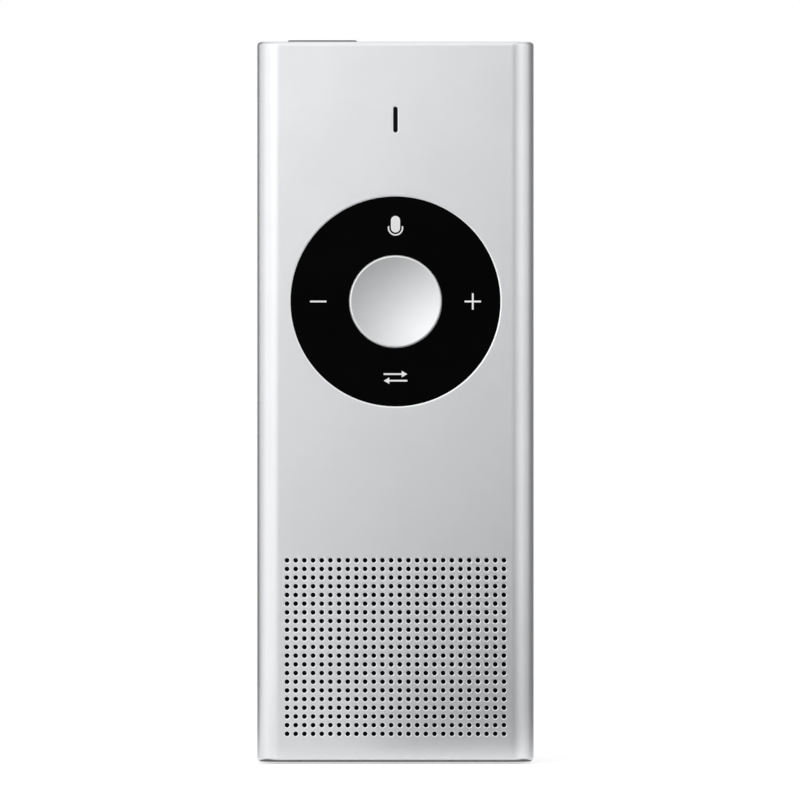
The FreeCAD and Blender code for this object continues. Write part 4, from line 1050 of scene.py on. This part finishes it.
@dataclass
class ChargingSocket:
    """The charging socket: drawn shell, tongue with its contacts, board and flat cable."""

    front: float = 0.6
    length: float = 7.35
    back_thick: float = 0.85
    run: float = SOCKET_RUN
    radius: float = 1.63
    wall: float = 0.3
    lip: float = 0.1
    facets: int = 64
    tongue_half: float = 3.35
    tongue_thin: float = 0.35
    tongue_front: float = 1.4
    tongue_end: float = 7.1
    tip: float = 0.15
    tip_steps: int = 3
    contact_from: float = 0.5
    contact_pitch: float = 0.5
    contact_count: int = 12
    contact_width: float = 0.25
    contact_length: float = 4.2
    contact_lift: float = 0.02

    def shell(self) -> None:
        """Builds the shell, open at the bottom end."""
        bm = bmesh.new()
        bore = self.radius - self.wall
        outer = ((0.0, self.radius - self.lip), (self.lip / 3, self.radius - self.lip / 3))
        outer += ((self.lip, self.radius), (self.length, self.radius))
        inner = ((0.0, bore + self.lip), (self.lip, bore), (self.length - self.back_thick, bore))
        walls = (outer, inner)
        openings = [Opening(0.0, 0.0, steps, self.run, False, self.facets) for steps in walls]
        drilling = Drilling(bm, 0.0, openings)
        edges = drilling.mouths()
        fill(bm, edges, -1.0)
        for ring in drilling.sink(edges).values():
            fill(bm, ring, -1.0)
        stand(bm, Way.DOWN, self.front)
        finish_mesh(bm, "socket_shell", "housing", [DRAWN_STEEL], ("usb_shell",))

    def tongue(self) -> None:
        """Builds the tongue and lays its gold contacts on both faces."""
        bm = bmesh.new()
        middle = (self.tongue_front + self.tongue_end) / 2
        bare = self.tongue_thin - self.contact_lift
        size = (2 * self.tongue_half, 2 * bare, self.tongue_end - self.tongue_front)
        place = Matrix.Translation((0, 0, middle)) @ Matrix.Diagonal((*size, 1))
        bmesh.ops.create_cube(bm, size=1.0, matrix=place)
        tip = [edge for edge in bm.edges if max(vert.co.z for vert in edge.verts) < middle]
        bmesh.ops.bevel(
            bm,
            geom=tip,
            offset=self.tip,
            offset_type="OFFSET",
            segments=self.tip_steps,
            profile=0.5,
            affect="EDGES",
            material=-1,
        )
        left = -(self.contact_count - 1) / 2 * self.contact_pitch
        z = self.tongue_front + self.contact_from + self.contact_length / 2
        strip = Matrix.Diagonal((self.contact_width, 2 * self.contact_lift, self.contact_length, 1))
        for number in range(self.contact_count):
            for side in (-1, 1):
                at = Matrix.Translation((left + number * self.contact_pitch, side * bare, z))
                made = bmesh.ops.create_cube(bm, size=1.0, matrix=at @ strip)
                for face in {face for vert in made["verts"] for face in vert.link_faces}:
                    face.material_index = 1
        finishes = [TONGUE_NYLON, GOLD_PLATE]
        finish_mesh(bm, "socket_tongue", "housing", finishes, ("usb_tongue",))

    def build(self) -> None:
        """Builds the socket and dresses its board and cable."""
        self.shell()
        self.tongue()
        dress("usb_board", SOLDER_MASK)
        dress("usb_flex", POLYIMIDE)


@dataclass
class StatusLight:
    """The smoke light guide in the slot and its lamp."""

    def build(self) -> None:
        """Dresses the light guide and the lamp."""
        dress("status_lens", SMOKE_ACRYLIC)
        dress("status_lamp", LAMP_RESIN)


@dataclass
class PowerKey:
    """The power key on the top end, its plunger and its switch."""

    def build(self) -> None:
        """Dresses the key, the plunger and the switch."""
        dress("power_button", GRAPHITE_ALUMINIUM)
        dress("switch_plunger", TONGUE_NYLON)
        dress("power_switch", TINNED_SHEET)


@dataclass
class Inside:
    """Everything behind the walls that is carried over as it is."""

    def build(self) -> None:
        """Dresses each carried-over node."""
        finishes = {
            GLASS_NYLON: ("inner_frame", "speaker_basket"),
            SOLDER_MASK: ("main_board",),
            BLACK_STEEL: ("board_screws",),
            GREY_FOAM: ("battery_pad", "speaker_gasket"),
            POUCH_FOIL: ("battery_cell",),
            TONGUE_NYLON: ("battery_connector",),
            LEAD_SILICONE: ("battery_leads",),
            TINNED_SHEET: ("shield_can", "microphone_top", "microphone_bottom"),
            CHIP_EPOXY: ("processor_chip", "memory_chip", "power_chip"),
            SOFT_SILICONE: ("mic_boot_top", "mic_boot_bottom", "speaker_surround"),
            POLYIMIDE: ("antenna_strip",),
            DUST_MESH: ("grille_mesh",),
            GROUND_STEEL: ("speaker_yoke", "speaker_pole"),
            NICKEL: ("speaker_magnet",),
            CONE_PAPER: ("speaker_diaphragm",),
            COPPER: ("voice_coil", "speaker_contacts"),
        }
        for finish, nodes in finishes.items():
            for node in nodes:
                dress(node, finish)


def board(name: str, width: float, depth: float, paint: bpy.types.Material) -> bpy.types.Object:
    """Makes a flat rectangle for the studio.

    Args:
        name: The board's name.
        width: Its size along X, in metres.
        depth: Its size along Y, in metres.
        paint: Its material.

    Returns:
        The board, which lies level at the origin.
    """
    bm = bmesh.new()
    bmesh.ops.create_grid(bm, x_segments=1, y_segments=1, size=0.5)
    bmesh.ops.scale(bm, vec=(width, depth, 1), verts=bm.verts)
    mesh = bpy.data.meshes.new(name)
    bm.to_mesh(mesh)
    bm.free()
    mesh.materials.append(paint)
    made = bpy.data.objects.new(name, mesh)
    bpy.context.scene.collection.objects.link(made)
    return made


@dataclass
class Studio:
    """Floor, world, lamps, reflector cards and camera.

    Places and sizes are in metres, and the lens and its sensor in millimetres.
    """

    camera_at: tuple[float, float, float] = (0.00082, -2.428, 0.06582)
    lens: float = 600.0
    sensor: float = 36.0
    farthest: float = 50.0
    middle: float = 0.0655
    fill_light: float = 0.8
    floor_size: float = 8.0
    floor_drop: float = 0.0003
    floor_tone: float = 0.85
    floor_glow: float = 0.32

    def seen_directly(self, tree: bpy.types.NodeTree) -> bpy.types.NodeSocket:
        """Tells rays that see a surface from rays that light the object.

        Args:
            tree: The node tree to add to.

        Returns:
            1 for camera, glossy and transmission rays, and 0 for the others.
        """
        path = add_node(tree, "LightPath").outputs
        first = {0: path["Is Camera Ray"], 1: path["Is Glossy Ray"]}
        either = add_node(tree, "Math", first, operation="MAXIMUM").outputs[0]
        last = {0: either, 1: path["Is Transmission Ray"]}
        return add_node(tree, "Math", last, operation="MAXIMUM").outputs[0]

    def world(self) -> None:
        """Sets a white surround that lights the object at a plain level."""
        world = bpy.data.worlds.new("studio")
        world.use_nodes = True
        bpy.context.scene.world = world
        tree = world.node_tree
        tree.nodes.clear()
        seen = {"Value": self.seen_directly(tree), "To Min": self.fill_light, "To Max": 1.0}
        strength = add_node(tree, "MapRange", seen).outputs["Result"]
        light = add_node(tree, "Background", {"Color": (1, 1, 1, 1), "Strength": strength})
        add_node(tree, "OutputWorld", {"Surface": light.outputs[0]})

    def floor(self) -> None:
        """Lays a pale floor that reads white and still takes the object's shadow."""
        paper = empty_material("pale_paper")
        tree = paper.node_tree
        matt = add_node(tree, "BsdfDiffuse", {"Color": (*[self.floor_tone] * 3, 1)})
        lift = {"Value": self.seen_directly(tree), "To Min": 0.0, "To Max": self.floor_glow}
        glow = {"Color": (1, 1, 1, 1), "Strength": add_node(tree, "MapRange", lift).outputs["Result"]}
        both = {0: matt.outputs[0], 1: add_node(tree, "Emission", glow).outputs[0]}
        added = add_node(tree, "AddShader", both)
        add_node(tree, "OutputMaterial", {"Surface": added.outputs[0]})
        floor = board("floor", self.floor_size, self.floor_size, paper)
        floor.location.z = -self.floor_drop

    def card(
        self,
        name: str,
        at: Vector | tuple[float, float, float],
        size: tuple[float, float],
        level: float,
        turned: tuple[float, float, float] | None = None,
    ) -> None:
        """Stands a card that only reflections see.

        Args:
            name: The card's name.
            at: Where its middle stands, in metres.
            size: Its width and height, in metres.
            level: How bright it is, where 1 is white.
            turned: Its turn about X, Y and Z in degrees, or None to face the object.
        """
        paint = empty_material(f"{name}_paint")
        glow = add_node(paint.node_tree, "Emission", {"Color": (1, 1, 1, 1), "Strength": level})
        add_node(paint.node_tree, "OutputMaterial", {"Surface": glow.outputs[0]})
        card = board(name, *size, paint)
        card.location = at
        if turned is None:
            card.rotation_euler = self.towards(Vector(at)).to_track_quat("Z", "Y").to_euler()
        else:
            card.rotation_euler = [math.radians(degrees) for degrees in turned]
        card.visible_camera = False
        card.visible_diffuse = False
        card.visible_transmission = False
        card.visible_shadow = False

    def lamp(self, name: str, at: Vector, size: tuple[float, float], watts: float) -> None:
        """Hangs a soft rectangular lamp that looks at the object.

        Args:
            name: The lamp's name.
            at: Where it hangs, in metres.
            size: Its width and height, in metres.
            watts: Its power.
        """
        light = bpy.data.lights.new(name, "AREA")
        light.shape = "RECTANGLE"
        light.size, light.size_y = size
        light.energy = watts
        lamp = bpy.data.objects.new(name, light)
        bpy.context.scene.collection.objects.link(lamp)
        lamp.location = at
        lamp.rotation_euler = self.towards(at).to_track_quat("-Z", "Y").to_euler()
        lamp.visible_camera = False

    def towards(self, at: Vector) -> Vector:
        """Returns the way from a place to the middle of the object."""
        return Vector((0, 0, self.middle)) - at

    def round_at(self, degrees: float, reach: float, rise: float) -> Vector:
        """Returns a place round the object; 0 degrees is the front and 90 the right."""
        angle = math.radians(degrees)
        return Vector((math.sin(angle) * reach, -math.cos(angle) * reach, rise))

    def camera(self) -> None:
        """Sets the long lens that takes the picture from straight ahead."""
        data = bpy.data.cameras.new("camera")
        data.lens = self.lens
        data.sensor_width = self.sensor
        data.clip_end = self.farthest
        camera = bpy.data.objects.new("camera", data)
        bpy.context.scene.collection.objects.link(camera)
        camera.location = self.camera_at
        camera.rotation_euler = (math.pi / 2, 0, 0)
        bpy.context.scene.camera = camera

    def build(self) -> None:
        """Sets the whole studio."""
        bpy.context.scene.view_settings.view_transform = "Standard"
        self.camera()
        self.world()
        self.floor()
        self.lamp("key_lamp", at=self.round_at(-24, 0.5, 0.25), size=(0.45, 0.35), watts=0.42)
        self.lamp("top_lamp", at=Vector((-0.05, -0.17, 0.6)), size=(0.3, 0.3), watts=0.12)
        self.lamp("left_strip", at=self.round_at(-68, 0.6, 0.12), size=(0.3, 0.8), watts=0.34)
        self.lamp("right_strip", at=self.round_at(50, 0.7, 0.1), size=(0.44, 0.8), watts=0.54)
        flat, upright = (0, 0, 0), (90, 10.9, 0)
        self.card("right_card", at=self.round_at(132, 0.5, 0.1), size=(0.62, 0.9), level=0.24)
        self.card("right_floor_card", (0.3, 0.16, 0.0007), (0.5, 0.6), level=0.22, turned=flat)
        self.card("left_back_card", at=self.round_at(-150, 0.6, 0.1), size=(0.5, 0.9), level=0.06)
        self.card("left_floor_card", (-0.25, 0.3, 0.0007), (0.4, 0.5), level=0.06, turned=flat)
        self.card("front_card", (0.043, -0.25, 0.06), (0.045, 0.5), level=0.16, turned=upright)
        self.card("side_table_card", (0.042, -0.13, 0.0008), (0.09, 0.23), level=0.0, turned=flat)
        self.card("near_table_card", (0.03, -0.107, 0.0005), (0.16, 0.19), level=0.7, turned=flat)
        self.card("table_card", (0.5, -0.7, 0.0006), (1.2, 1.0), level=0.3, turned=flat)
        # A dim card under the object's foot, seen only in reflections: painted shade that stands in for
        # the contact shadow in the bottom rim's reflection.
        self.card("foot_shade_card", (0, -0.0005, -0.0001), (0.05, 0.0075), level=0.15, turned=flat)


def main() -> None:
    """Builds the sub-assemblies in order."""
    logging.basicConfig(level=logging.INFO, format="%(message)s")
    builders = [
        Studio(),
        Sleeve(),
        EndCaps(),
        KeyRing(),
        CentreButton(),
        StatusLight(),
        PowerKey(),
        ChargingSocket(),
        Inside(),
    ]
    for builder in builders:
        builder.build()
        log.info("%s is done", type(builder).__name__)


if __name__ == "__main__":
    main()
